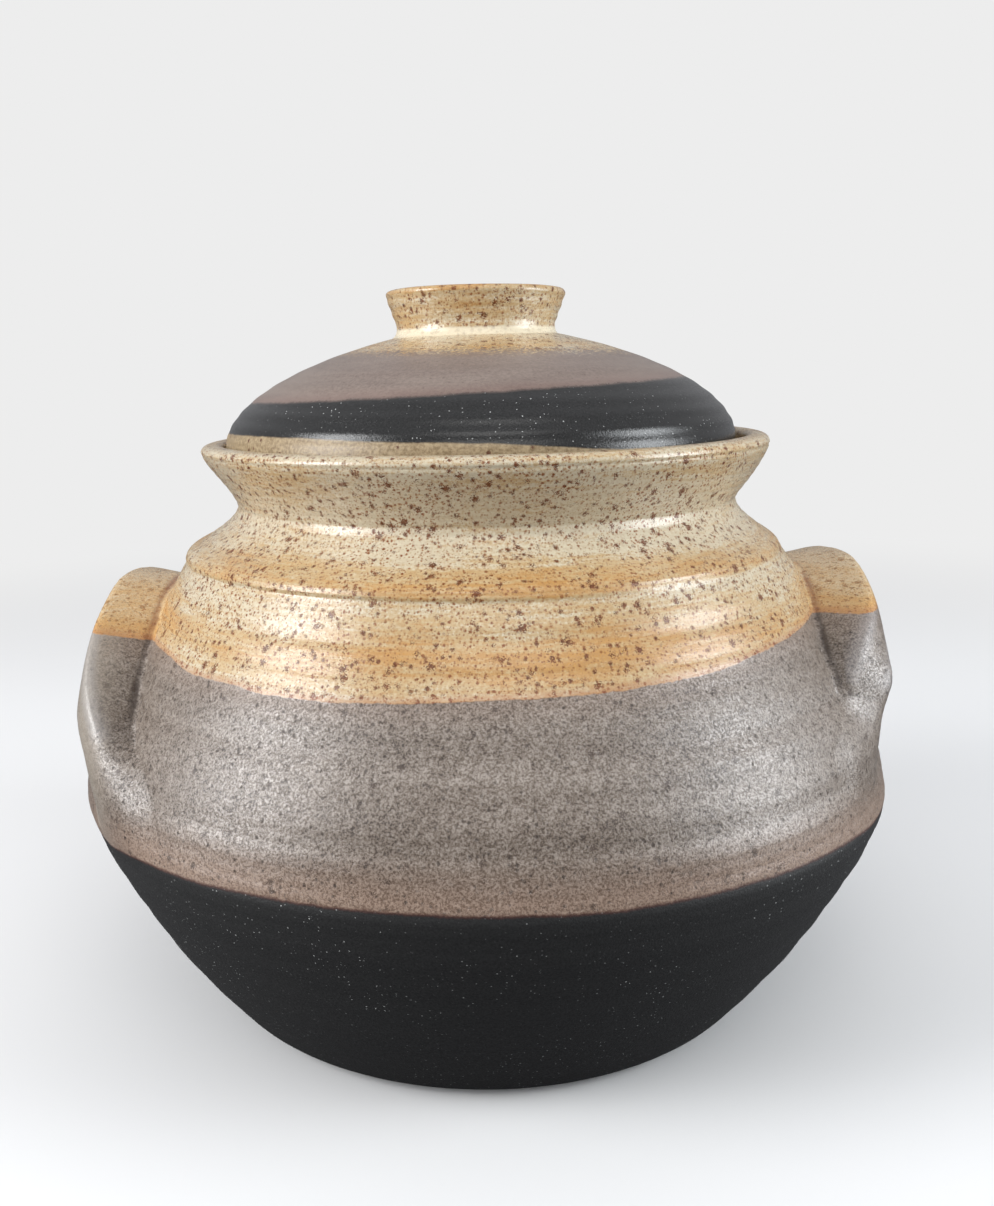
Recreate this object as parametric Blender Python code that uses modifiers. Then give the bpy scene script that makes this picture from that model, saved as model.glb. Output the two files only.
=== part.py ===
"""Soup tureen: a thrown stoneware pot with two lug handles and a loose domed lid with a ring knob.

Lengths are in metres, +Z is up and the foot stands on Z = 0. The handles are at -X and +X.
The lid rests on a ledge inside the rim and lifts straight up.
"""

import math

import bmesh
import bpy

MM = 0.001

# Pot: outer wall, from the foot up
BELLY_RADIUS = 125 * MM
BELLY_HEIGHT = 70 * MM
BELLY_CURVE = 1.42
WALL_BASE_RADIUS = 85 * MM
HEEL_HEIGHT = 5 * MM
HEEL_WIDTH = 6 * MM
FOOT_RING_WIDTH = 17 * MM
FOOT_RECESS_DEPTH = 3 * MM
FOOT_RECESS_BEVEL = 1.5 * MM
SHOULDER_RISE = 69 * MM
SHOULDER_STEEPNESS = 1.1
SHOULDER_ROUNDING = 1.2 * MM
LEDGE_WIDTH = 15.3 * MM
NECK_RISE = 15 * MM
RIM_RADIUS = 87 * MM
RIM_FLARE = 9.8 * MM
RIM_RISE = 19 * MM
LIP_WIDTH = 6.6 * MM
LIP_ROUNDING = 1.6 * MM
LIP_DROP = 2.5 * MM
LIP_SLOPE = 4 * MM

FOOT_RADIUS = WALL_BASE_RADIUS - HEEL_WIDTH
NECK_RADIUS = RIM_RADIUS - RIM_FLARE
SHOULDER_RADIUS = NECK_RADIUS + LEDGE_WIDTH
SHOULDER_HEIGHT = BELLY_HEIGHT + SHOULDER_RISE
NECK_HEIGHT = SHOULDER_HEIGHT + NECK_RISE
POT_HEIGHT = NECK_HEIGHT + RIM_RISE

# Where the control points of the neck's curves lie between the sizes above
RIDGE_FOOT_SHARE = 2.0
RIDGE_TOP_SHARE = 1.5
NECK_HOLLOW_SHARES = (0.25, 0.55)
FLARE_FOOT_SHARE = 0.15
FLARE_TOP_SHARES = (0.08, 0.25)

# Pot: inside
WALL_THICKNESS = 6 * MM
FLOOR_THICKNESS = 8 * MM
FLOOR_CORNER_RADIUS = 18 * MM
FLOOR_CORNER_SHARE = 0.35
GALLERY_DEPTH = 8 * MM
GALLERY_FILLET = 1.2 * MM
INNER_NECK_SHARE = 0.5
INNER_SHOULDER_SHARE = 1.2

# Lid and knob
LID_SIDE_CLEARANCE = 2.1 * MM
SEAT_GAP = 0.3 * MM
LID_EDGE_HEIGHT = 5.7 * MM
LID_EDGE_ROUNDING = 1 * MM
LID_DOME_RISE = 36 * MM
LID_DOME_CURVE = 1.45
LID_HOLLOW_CURVE = 1.7
LID_THICKNESS = 6 * MM
LID_SEAT_WIDTH = 8 * MM
KNOB_TOP_RADIUS = 27.2 * MM
KNOB_FLARE = 2.9 * MM
KNOB_HEIGHT = 13.5 * MM
KNOB_RING_WIDTH = 5 * MM
KNOB_ROUNDING = 1.6 * MM
KNOB_WEB = 3 * MM
KNOB_DISH_CORNER = 4 * MM
DISH_CORNER_SHARES = (0.5, 0.7)
KNOB_SEAT_SHARES = (1, 0.66, 0.33, 0)

KNOB_BASE_RADIUS = KNOB_TOP_RADIUS - KNOB_FLARE

# Handles: a strap of clay bent into an arch against the wall. The left one was set lower.
LEFT_REACH = 17.5 * MM
LEFT_CROWN_DROP = 10 * MM
LEFT_ARCH_RISE = 45 * MM
LEFT_TAIL_ANGLE = math.radians(38.5)
RIGHT_REACH = 20 * MM
RIGHT_CROWN_DROP = 7.5 * MM
RIGHT_ARCH_RISE = 36.5 * MM
RIGHT_TAIL_ANGLE = math.radians(37)
HANDLE_THICKNESS = 12 * MM
HANDLE_LIFT = 4.5 * MM
HANDLE_EMBED = 6 * MM
HANDLE_TAIL = 12 * MM
HANDLE_HALF_ANGLE = math.radians(33)

# Stations along the arch from the crown to the root, then the tail. At each, how far the strap's
# upper edge and its side reach, and how thick it is.
ARCH_ANGLES = [math.radians(a) for a in (0, 20, 40, 56, 72, 88)]
LEFT_RIDGE_SHARES = (1.0, 1.0, 1.0, 0.9, 0.55, 0.1, -0.14)
LEFT_SIDE_SHARES = (1.0, 1.0, 1.0, 0.92, 0.76, 0.3, -0.14)
RIGHT_RIDGE_SHARES = (1.0, 1.0, 0.95, 0.56, 0.14, -0.1, -0.14)
RIGHT_SIDE_SHARES = (1.0, 1.0, 0.98, 0.95, 0.8, 0.25, -0.14)
THICKNESS_SHARES = (1.0, 1.0, 1.02, 1.1, 1.25, 1.4, 1.4)

# Strap section: how far out (0 wall, 1 edge), how deep below the upper face, and how much of the
# side's reach each point takes rather than the ridge's
SECTION_SHARES = (
    (0.45, -0.06, 0.0),
    (0.98, -0.04, 0.0),
    (1.02, 0.12, 0.2),
    (1.0, 0.8, 1.0),
    (0.9, 1.0, 1.0),
)

# Glaze lines on the pot and the lid
GREY_TOP = 117 * MM
BLACK_TOP = 70 * MM
LID_TAN_RADIUS = 43.5 * MM
LID_BLACK_RADIUS = 67 * MM
LID_RIM_BAND = 1.5 * MM

TURN_STEPS = 64
KNOB_STEPS = 48
CUTTER_OVERRUN = 20 * MM
MERGE_DISTANCE = 0.01 * MM

TAN = (0.62, 0.42, 0.22, 1)
GREY = (0.27, 0.24, 0.22, 1)
BLACK = (0.014, 0.014, 0.014, 1)
MAUVE = (0.13, 0.10, 0.09, 1)
OLIVE = (0.20, 0.14, 0.07, 1)
POT_ROUGHNESS = 0.4
LID_ROUGHNESS = 0.3


def bezier(points, steps):
    """Points along a Bezier curve of 3 or 4 control points, both ends included."""
    found = []
    for i in range(steps + 1):
        t = i / steps
        row = list(points)
        while len(row) > 1:
            row = [
                tuple(a + (b - a) * t for a, b in zip(p, q)) for p, q in zip(row, row[1:])
            ]
        found.append(row[0])
    return found


def lower_wall_radius(z):
    """The belly below its widest point."""
    swell = 1 - (1 - z / BELLY_HEIGHT) ** BELLY_CURVE
    return WALL_BASE_RADIUS + (BELLY_RADIUS - WALL_BASE_RADIUS) * swell


def upper_wall_radius(z):
    """The belly from its widest point to the shoulder ridge."""
    u = (z - BELLY_HEIGHT) / (SHOULDER_HEIGHT - BELLY_HEIGHT)
    drawn_in = u * u * (3 - SHOULDER_STEEPNESS - (2 - SHOULDER_STEEPNESS) * u)
    return BELLY_RADIUS - (BELLY_RADIUS - SHOULDER_RADIUS) * drawn_in


def wall_radius(z):
    return lower_wall_radius(z) if z < BELLY_HEIGHT else upper_wall_radius(z)


def heights(low, high, steps):
    return [low + (high - low) * i / steps for i in range(steps + 1)]


def belly_profile():
    """Radius and height up the outer wall, from the heel to just under the shoulder ridge."""
    ridge_start = SHOULDER_HEIGHT - RIDGE_FOOT_SHARE * SHOULDER_ROUNDING
    low = [(lower_wall_radius(z), z) for z in heights(HEEL_HEIGHT, BELLY_HEIGHT, 6)]
    high = [(upper_wall_radius(z), z) for z in heights(BELLY_HEIGHT, ridge_start, 7)]
    return low + high[1:]


def neck_profile():
    """The shoulder ridge, the neck and the flare up to the lip, upwards."""
    ridge_foot = belly_profile()[-1]
    ridge_in = RIDGE_TOP_SHARE * SHOULDER_ROUNDING
    ridge_top = (SHOULDER_RADIUS - ridge_in, SHOULDER_HEIGHT + SHOULDER_ROUNDING)
    ridge_edge = (SHOULDER_RADIUS + SHOULDER_ROUNDING, SHOULDER_HEIGHT)
    ridge = bezier([ridge_foot, ridge_edge, ridge_top], 2)
    neck = (NECK_RADIUS, NECK_HEIGHT)
    hollow_out, hollow_down = NECK_HOLLOW_SHARES
    hollow = (NECK_RADIUS + hollow_out * NECK_RISE, NECK_HEIGHT - hollow_down * NECK_RISE)
    shoulder = bezier([ridge_top, hollow, neck], 4)
    lip_foot = (RIM_RADIUS, POT_HEIGHT - LIP_DROP)
    flare_rise = lip_foot[1] - NECK_HEIGHT
    top_in, top_down = FLARE_TOP_SHARES
    flare = bezier(
        [
            neck,
            (NECK_RADIUS, NECK_HEIGHT + FLARE_FOOT_SHARE * flare_rise),
            (RIM_RADIUS - top_in * RIM_FLARE, lip_foot[1] - top_down * flare_rise),
            lip_foot,
        ],
        5,
    )
    return ridge[1:] + shoulder[1:] + flare[1:]


def mouth_radius():
    return RIM_RADIUS - LIP_WIDTH


def gallery_height():
    return POT_HEIGHT - GALLERY_DEPTH


def lip_profile():
    """Over the lip and down to the ledge that carries the lid."""
    inner = mouth_radius()
    over = bezier(
        [
            (RIM_RADIUS, POT_HEIGHT - LIP_DROP),
            (RIM_RADIUS, POT_HEIGHT),
            (RIM_RADIUS - LIP_SLOPE, POT_HEIGHT),
        ],
        2,
    )
    down = bezier(
        [
            (inner + LIP_ROUNDING, POT_HEIGHT),
            (inner, POT_HEIGHT),
            (inner, POT_HEIGHT - LIP_ROUNDING),
        ],
        2,
    )
    ledge = gallery_height()
    fillet = bezier(
        [(inner, ledge + GALLERY_FILLET), (inner, ledge), (inner - GALLERY_FILLET, ledge)], 2
    )
    return over[1:] + down + fillet


def inner_profile():
    """Down the inside from the ledge's edge to the middle of the floor."""
    throat = NECK_RADIUS - WALL_THICKNESS
    edge = bezier(
        [
            (throat + GALLERY_FILLET, gallery_height()),
            (throat, gallery_height()),
            (throat, gallery_height() - GALLERY_FILLET),
        ],
        2,
    )
    under_ridge = SHOULDER_HEIGHT - WALL_THICKNESS
    inset = INNER_SHOULDER_SHARE * WALL_THICKNESS
    shoulder = bezier(
        [
            (throat, NECK_HEIGHT),
            (throat, under_ridge + INNER_NECK_SHARE * (NECK_HEIGHT - under_ridge)),
            (wall_radius(under_ridge) - inset, under_ridge - WALL_THICKNESS),
        ],
        3,
    )
    corner_top = FLOOR_THICKNESS + FLOOR_CORNER_RADIUS
    wall = [
        (wall_radius(z) - WALL_THICKNESS, z)
        for z in reversed(heights(corner_top, shoulder[-1][1] - 2 * WALL_THICKNESS, 5))
    ]
    corner_radius = wall[-1][0]
    corner = bezier(
        [
            wall[-1],
            (corner_radius - FLOOR_CORNER_SHARE * FLOOR_CORNER_RADIUS, FLOOR_THICKNESS),
            (corner_radius - FLOOR_CORNER_RADIUS, FLOOR_THICKNESS),
        ],
        3,
    )
    return edge + shoulder + wall + corner[1:] + [(0, FLOOR_THICKNESS)]


def foot_profile():
    """From the middle of the foot's recess out to the heel, and up to the wall."""
    top = FOOT_RECESS_DEPTH
    recess = FOOT_RADIUS - FOOT_RING_WIDTH
    heel = bezier(
        [(FOOT_RADIUS, 0), (WALL_BASE_RADIUS, 0), (lower_wall_radius(HEEL_HEIGHT), HEEL_HEIGHT)], 3
    )
    return [
        (0, top),
        (recess - FOOT_RECESS_BEVEL, top),
        (recess, 0),
    ] + heel


def glaze(name, height_range, bands, roughness):
    """A Principled material whose colour changes at the stated heights, lowest band first."""
    material = bpy.data.materials.new(name)
    material.use_nodes = True
    nodes, links = material.node_tree.nodes, material.node_tree.links
    shader = nodes["Principled BSDF"]
    shader.inputs["Roughness"].default_value = roughness
    shader.inputs["Base Color"].default_value = bands[0][1]
    material.diffuse_color = bands[-1][1]
    coordinates = nodes.new("ShaderNodeTexCoord")
    split = nodes.new("ShaderNodeSeparateXYZ")
    scale = nodes.new("ShaderNodeMapRange")
    scale.inputs["From Min"].default_value = height_range[0]
    scale.inputs["From Max"].default_value = height_range[1]
    ramp = nodes.new("ShaderNodeValToRGB")
    ramp.color_ramp.interpolation = "CONSTANT"
    ramp.color_ramp.elements.remove(ramp.color_ramp.elements[1])
    ramp.color_ramp.elements[0].color = bands[0][1]
    for height, colour in bands[1:]:
        share = (height - height_range[0]) / (height_range[1] - height_range[0])
        ramp.color_ramp.elements.new(share).color = colour
    links.new(coordinates.outputs["Object"], split.inputs["Vector"])
    links.new(split.outputs["Z"], scale.inputs["Value"])
    links.new(scale.outputs["Result"], ramp.inputs["Fac"])
    links.new(ramp.outputs["Color"], shader.inputs["Base Color"])
    return material


def link(obj, collection, material=None):
    collection.objects.link(obj)
    if material:
        obj.data.materials.append(material)
    return obj


def turned(name, profile, steps, collection, material=None):
    """A solid of revolution about Z from a profile that runs down its outer side."""
    mesh = bpy.data.meshes.new(name)
    points = [(radius, 0, height) for radius, height in profile]
    mesh.from_pydata(points, [(i, i + 1) for i in range(len(points) - 1)], [])
    obj = link(bpy.data.objects.new(name, mesh), collection, material)
    screw = obj.modifiers.new("Turn", "SCREW")
    screw.axis = "Z"
    screw.steps = screw.render_steps = steps
    screw.use_merge_vertices = True
    screw.merge_threshold = MERGE_DISTANCE
    screw.use_smooth_shade = True
    return obj


def pot_body(collection, material):
    upwards = foot_profile() + belly_profile()[1:] + neck_profile() + lip_profile()
    outer_down = list(reversed(upwards))
    inner_up = list(reversed(inner_profile()))
    return turned("pot_body", inner_up + outer_down, TURN_STEPS, collection, material)


def lid_radius():
    return mouth_radius() - LID_SIDE_CLEARANCE


def lid_base():
    return gallery_height() + SEAT_GAP


def dome_height(radius, edge_radius, rise, curve):
    """Height of a flattened dome over its edge."""
    return rise * math.sqrt(max(0.0, 1 - (radius / edge_radius) ** curve))


def dome_top(radius):
    """Height of the lid's upper surface."""
    height = dome_height(radius, lid_radius(), LID_DOME_RISE, LID_DOME_CURVE)
    return lid_base() + LID_EDGE_HEIGHT + height


def dome_radii(edge_radius, steps):
    """Radii from the edge in to the axis, close together where the dome is steep."""
    return [edge_radius * math.sin(0.5 * math.pi * (1 - i / steps)) for i in range(steps + 1)]


def lid(collection, material):
    edge = lid_radius()
    base = lid_base()
    outer = [(r, dome_top(r)) for r in dome_radii(edge, 10)]
    outer_down = list(reversed(outer))
    corner = bezier(
        [(edge, base + LID_EDGE_ROUNDING), (edge, base), (edge - LID_EDGE_ROUNDING, base)], 2
    )
    hollow_edge = edge - LID_SEAT_WIDTH
    hollow_rise = LID_EDGE_HEIGHT + LID_DOME_RISE - LID_THICKNESS
    inner_up = [
        (r, base + dome_height(r, hollow_edge, hollow_rise, LID_HOLLOW_CURVE))
        for r in dome_radii(hollow_edge, 7)
    ]
    return turned("lid", outer_down + corner + inner_up, TURN_STEPS, collection, material)


def knob_base():
    return dome_top(KNOB_BASE_RADIUS) + SEAT_GAP


def lid_knob(collection, material):
    """A flared ring with a dished top. Its foot follows the lid's dome."""
    base, top = knob_base(), knob_base() + KNOB_HEIGHT
    inner_top = KNOB_TOP_RADIUS - KNOB_RING_WIDTH
    dish = dome_top(0) + SEAT_GAP + KNOB_WEB
    corner_in, corner_up = DISH_CORNER_SHARES
    corner = inner_top - KNOB_DISH_CORNER
    dish_corner = bezier(
        [
            (corner - KNOB_DISH_CORNER, dish),
            (corner, dish),
            (inner_top - corner_in * KNOB_DISH_CORNER, dish + corner_up * KNOB_DISH_CORNER),
        ],
        3,
    )
    inner_edge = bezier(
        [(inner_top, top - KNOB_ROUNDING), (inner_top, top), (inner_top + KNOB_ROUNDING, top)], 2
    )
    outer_edge = bezier(
        [
            (KNOB_TOP_RADIUS - KNOB_ROUNDING, top),
            (KNOB_TOP_RADIUS, top),
            (KNOB_TOP_RADIUS, top - KNOB_ROUNDING),
        ],
        3,
    )
    waist = [(KNOB_BASE_RADIUS, base + KNOB_ROUNDING)]
    seat_radii = [KNOB_BASE_RADIUS * share for share in KNOB_SEAT_SHARES]
    seat = [(r, dome_top(r) + SEAT_GAP) for r in seat_radii]
    profile = [(0, dish)] + dish_corner + inner_edge + outer_edge + waist + seat
    return turned("lid_knob", profile, KNOB_STEPS, collection, material)


def wall_cutter(collection):
    """The pot's outer wall grown by the seat gap, to fit the handles to it."""
    top = SHOULDER_HEIGHT + CUTTER_OVERRUN
    wall = [(radius + SEAT_GAP, height) for radius, height in belly_profile()]
    ridge = (SHOULDER_RADIUS + SEAT_GAP, SHOULDER_HEIGHT)
    profile = [(0, top), (NECK_RADIUS, top), ridge] + list(reversed(wall)) + [(0, HEEL_HEIGHT)]
    cutter = turned("wall_cutter", profile, TURN_STEPS, collection)
    cutter.hide_render = True
    cutter.display_type = "WIRE"
    return cutter


def strap_station(index, crown_drop, arch_rise, tail_angle):
    """Azimuth and height of the strap's upper face on the wall, and its normal there in the wall."""
    root_height = SHOULDER_HEIGHT - crown_drop - arch_rise
    if index == len(ARCH_ANGLES):
        return tail_angle, root_height - HANDLE_TAIL, (1.0, 0.0), 0.0
    angle = ARCH_ANGLES[index]
    azimuth = HANDLE_HALF_ANGLE * math.sin(angle)
    height = root_height + arch_rise * math.cos(angle)
    half_span = HANDLE_HALF_ANGLE * BELLY_RADIUS
    across, up = math.sin(angle) / half_span, math.cos(angle) / arch_rise
    length = math.hypot(across, up)
    return azimuth, height, (across / length, up / length), math.cos(angle)


def strap_section(index, side, reach, arch, ridge_shares, side_shares):
    """Corners of the strap's cage at one station. side is 1 or -1 along Y."""
    azimuth, height, normal, tilt = strap_station(index, *arch)
    wall = wall_radius(height)
    depth = HANDLE_THICKNESS * THICKNESS_SHARES[index]
    ridge_out = reach * ridge_shares[index]
    side_out = reach * side_shares[index]
    corners = [(-HANDLE_EMBED, 0.0)]
    for out, down, mix in SECTION_SHARES:
        corners.append((out * (ridge_out + (side_out - ridge_out) * mix), down))
    corners += [(-HANDLE_EMBED, 1.0)]
    points = []
    for out, down in corners:
        lift = HANDLE_LIFT * tilt * max(out, 0) / reach
        around = azimuth - normal[0] * depth * down / wall
        radius = wall + out
        points.append(
            (
                radius * math.cos(around),
                side * radius * math.sin(around),
                height - normal[1] * depth * down + lift,
            )
        )
    return points


def handle_cage(name, end, strap):
    """A closed loft of the strap's sections from one tail over the crown to the other."""
    last = len(ARCH_ANGLES)
    stations = [(i, -1) for i in range(last, 0, -1)] + [(i, 1) for i in range(last + 1)]
    shape = bmesh.new()
    rings = []
    for index, side in stations:
        corners = strap_section(index, side, *strap)
        rings.append([shape.verts.new((end * x, end * y, z)) for x, y, z in corners])
    count = len(rings[0])
    for low, high in zip(rings, rings[1:]):
        for i in range(count):
            j = (i + 1) % count
            shape.faces.new((low[i], low[j], high[j], high[i]))
    shape.faces.new(rings[0])
    shape.faces.new(reversed(rings[-1]))
    bmesh.ops.recalc_face_normals(shape, faces=shape.faces)
    mesh = bpy.data.meshes.new(name)
    shape.to_mesh(mesh)
    shape.free()
    mesh.shade_smooth()
    return mesh


def handle(name, end, strap, cutter, collection, material):
    """One lug handle. end is 1 at +X and -1 at -X."""
    obj = link(bpy.data.objects.new(name, handle_cage(name, end, strap)), collection, material)
    rounding = obj.modifiers.new("Rounding", "SUBSURF")
    rounding.levels = rounding.render_levels = 2
    fit = obj.modifiers.new("Fit to wall", "BOOLEAN")
    fit.operation = "DIFFERENCE"
    fit.solver = "EXACT"
    fit.object = cutter
    return obj


def new_collection(name):
    collection = bpy.data.collections.new(name)
    bpy.context.scene.collection.children.link(collection)
    return collection


def main():
    for obj in list(bpy.data.objects):
        bpy.data.objects.remove(obj, do_unlink=True)
    tureen = new_collection("soup_tureen")
    cutters = new_collection("cutters")

    pot_bands = [(0, BLACK), (BLACK_TOP, GREY), (GREY_TOP, TAN)]
    pot_glaze = glaze("pot_glaze", (0, POT_HEIGHT), pot_bands, POT_ROUGHNESS)
    handle_glaze = glaze("handle_glaze", (0, POT_HEIGHT), pot_bands, POT_ROUGHNESS)
    lid_bands = [
        (0, OLIVE),
        (lid_base() + LID_EDGE_HEIGHT + LID_RIM_BAND, BLACK),
        (dome_top(LID_BLACK_RADIUS), MAUVE),
        (dome_top(LID_TAN_RADIUS), TAN),
    ]
    lid_glaze = glaze("lid_glaze", (0, knob_base()), lid_bands, LID_ROUGHNESS)
    knob_glaze = glaze("knob_glaze", (0, knob_base()), [(0, TAN)], LID_ROUGHNESS)

    pot_body(tureen, pot_glaze)
    cutter = wall_cutter(cutters)
    left_arch = (LEFT_CROWN_DROP, LEFT_ARCH_RISE, LEFT_TAIL_ANGLE)
    left = (LEFT_REACH, left_arch, LEFT_RIDGE_SHARES, LEFT_SIDE_SHARES)
    right_arch = (RIGHT_CROWN_DROP, RIGHT_ARCH_RISE, RIGHT_TAIL_ANGLE)
    right = (RIGHT_REACH, right_arch, RIGHT_RIDGE_SHARES, RIGHT_SIDE_SHARES)
    handle("left_handle", -1, left, cutter, tureen, handle_glaze)
    handle("right_handle", 1, right, cutter, tureen, handle_glaze)
    lid(tureen, lid_glaze)
    lid_knob(tureen, knob_glaze)


main()
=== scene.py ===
"""Looks of the soup tureen: hand-thrown stoneware in three speckled glazes.

Lengths are in metres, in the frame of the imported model: +Z up, -Y towards the viewer.
"""

import math

import bmesh
import bpy
import numpy as np
from mathutils import Matrix, Vector
from mathutils.bvhtree import BVHTree


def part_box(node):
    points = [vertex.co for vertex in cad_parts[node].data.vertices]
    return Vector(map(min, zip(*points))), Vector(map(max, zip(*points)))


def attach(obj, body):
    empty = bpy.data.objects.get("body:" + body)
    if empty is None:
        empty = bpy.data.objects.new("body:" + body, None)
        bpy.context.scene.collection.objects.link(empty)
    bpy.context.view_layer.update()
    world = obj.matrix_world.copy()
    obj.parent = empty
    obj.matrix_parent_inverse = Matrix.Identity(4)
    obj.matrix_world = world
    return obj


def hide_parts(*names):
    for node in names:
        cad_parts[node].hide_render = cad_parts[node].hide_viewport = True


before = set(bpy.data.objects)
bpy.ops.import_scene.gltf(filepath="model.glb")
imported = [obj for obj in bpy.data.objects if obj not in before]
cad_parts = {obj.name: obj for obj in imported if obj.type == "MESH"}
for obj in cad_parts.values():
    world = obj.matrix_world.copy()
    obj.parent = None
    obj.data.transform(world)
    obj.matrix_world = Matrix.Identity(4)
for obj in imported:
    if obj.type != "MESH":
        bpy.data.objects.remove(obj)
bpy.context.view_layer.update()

MM = 0.001
TURN = 2 * math.pi

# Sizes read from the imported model
BELLY_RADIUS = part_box("pot_body")[1].x
RIM_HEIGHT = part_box("pot_body")[1].z
LID_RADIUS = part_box("lid")[1].x
LID_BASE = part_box("lid")[0].z
LID_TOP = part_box("lid")[1].z
KNOB_TOP_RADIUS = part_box("lid_knob")[1].x
KNOB_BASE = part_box("lid_knob")[0].z
KNOB_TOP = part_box("lid_knob")[1].z

# Pot: the same outline as the solid, with the details that the hand leaves
FOOT_RADIUS = 79 * MM
FOOT_RECESS_RADIUS = 62 * MM
FOOT_RECESS_DEPTH = 3 * MM
FOOT_RECESS_BEVEL = 1.5 * MM
HEEL_HEIGHT = 5 * MM
WALL_BASE_RADIUS = 85 * MM
BELLY_HEIGHT = 70 * MM
BELLY_CURVE = 1.42
SHOULDER_RADIUS = 92.5 * MM
SHOULDER_HEIGHT = 139 * MM
SHOULDER_STEEPNESS = 1.1
SHOULDER_PULL = (-0.35 * MM, 2.6 * MM)
FINE_ROWS = (SHOULDER_HEIGHT - 4 * MM, SHOULDER_HEIGHT + 1 * MM)
NECK_RADIUS = 77.2 * MM
NECK_HEIGHT = 154 * MM
RIM_RADIUS = 87 * MM
LIP_WIDTH = 6.6 * MM
LIP_ROUNDING = 1.9 * MM
LIP_DROP = 2.5 * MM
LIP_SLOPE = 4 * MM
GALLERY_DEPTH = 8 * MM
GALLERY_FILLET = 1.2 * MM
WALL_THICKNESS = 6 * MM
FLOOR_THICKNESS = 8 * MM
FLOOR_CORNER_RADIUS = 18 * MM
POT_STEPS = 240

# Lean of the whole pot towards +X, as the photo shows it
LEAN_PER_HEIGHT = 0.0116
LEAN_AT_FLOOR = -0.58 * MM

# Finger ridges: a spiral all the way up, finer ones on it, and single grooves. A groove is its
# height, width, depth and fading in front and behind. A pair is where something starts and ends.
RING_PITCH = 10.6 * MM
RING_DEPTH = 0.22 * MM
FINE_RING_PITCH = 3.1 * MM
FINE_RING_DEPTH = 0.05 * MM
RINGS_FADE = (131 * MM, 137 * MM)
GROOVES = (
    (85 * MM, 1.9 * MM, 0.34 * MM, 0.75),
    (104.5 * MM, 2.4 * MM, 0.22 * MM, 0.0),
    (122.5 * MM, 1.7 * MM, 0.3 * MM, 0.0),
    (129.5 * MM, 1.5 * MM, 0.28 * MM, 0.0),
)
GROOVE_SWAY = 0.4 * MM
SWELL = 0.3 * MM
SWELL_LENGTH = 30 * MM
SWELL_FADE = (120 * MM, 138 * MM)
NECK_RING_PITCH = 2.3 * MM
NECK_RING_DEPTH = 0.07 * MM
NECK_RINGS_START = (141 * MM, 145 * MM)
NECK_RINGS_FADE = (165 * MM, 168 * MM)

# The shoulder's ledge. Heights are from its edge.
LEDGE_DEPTH = 0.85 * MM
LEDGE_RISE = (-1.2 * MM, 0.5 * MM)
LEDGE_FADE = (2.5 * MM, 5.5 * MM)
LEDGE_SWAY = 0.25 * MM
LEDGE_STRONGEST = math.radians(-150)

# Single bands round the pot: height, width, and how far they stand out or go in
LEDGE_HOLLOW = (-1.3 * MM, 1.1 * MM, 0.08 * MM)
LEDGE_SEAM = (5.2 * MM, 0.7 * MM, 0.12 * MM)
RIM_LINE = (RIM_HEIGHT - 3 * MM, 0.45 * MM, 0.32 * MM)
RIM_LINE_ANGLE = math.radians(40)
SMEAR = (98 * MM, 8 * MM, 2.2 * MM)
THUMB = (80 * MM, 9 * MM, 2.2 * MM)
THUMB_ANGLE = math.radians(30)
LEFT_SMEAR = (74 * MM, 10 * MM, 1.2 * MM)
LEFT_SMEAR_ANGLE = math.radians(34)
DRAWN_IN = (44 * MM, 14 * MM, 0.8 * MM)
NECK_LEAN = (160 * MM, 7.5 * MM, 1.1 * MM)
SHOULDER_FLAT = (141 * MM, 5 * MM, 1.3 * MM)

# Handles: a strap of clay bent into an arch against the wall, its ends smeared on to the belly
HANDLE_THICKNESS = 12 * MM
HANDLE_LIFT = 4.5 * MM
HANDLE_EMBED = 9 * MM
HANDLE_TAIL = 9 * MM
HANDLE_HALF_ANGLE = math.radians(33)
ARCH_ANGLES = [math.radians(a) for a in (0, 20, 40, 56, 72, 88)]
THICKNESS_SHARES = (1.0, 1.0, 1.02, 1.1, 1.25, 1.4, 1.4)
SECTION_SHARES = (
    (0.45, -0.06, 0.0),
    (0.98, -0.04, 0.0),
    (1.02, 0.12, 0.2),
    (1.0, 0.8, 1.0),
    (0.9, 1.0, 1.0),
)
LEFT_STRAP = {
    "reach": 17.5 * MM,
    "crown": 129 * MM,
    "root": 84 * MM,
    "crease_end": 98 * MM,
    "splay": (0, 0, 0, 0, math.radians(2.5), math.radians(6)),
    "tail_angle": math.radians(41),
    "slope": 0.0,
    "ridge_shares": (1.0, 1.0, 1.02, 0.94, 0.6, 0.12, -0.14),
    "side_shares": (1.0, 1.0, 1.02, 0.98, 0.84, 0.38, -0.14),
}
RIGHT_STRAP = {
    "reach": 20 * MM,
    "crown": 131.5 * MM,
    "root": 95 * MM,
    "crease_end": 104 * MM,
    "splay": (0, 0, 0, 0, 0, 0),
    "tail_angle": math.radians(37),
    "slope": 0.17,
    "ridge_shares": (1.0, 1.0, 0.95, 0.56, 0.14, -0.1, -0.14),
    "side_shares": (1.0, 1.0, 0.98, 0.95, 0.8, 0.25, -0.14),
}
CREASE_BLEND = 1.2 * MM
ROOT_BLEND = 13 * MM
CREASE_FADE = 13 * MM
STRAP_RIPPLE = 0.22 * MM
RIPPLE_LENGTHS = (5.1 * MM, 6.3 * MM, 5.7 * MM)

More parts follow.
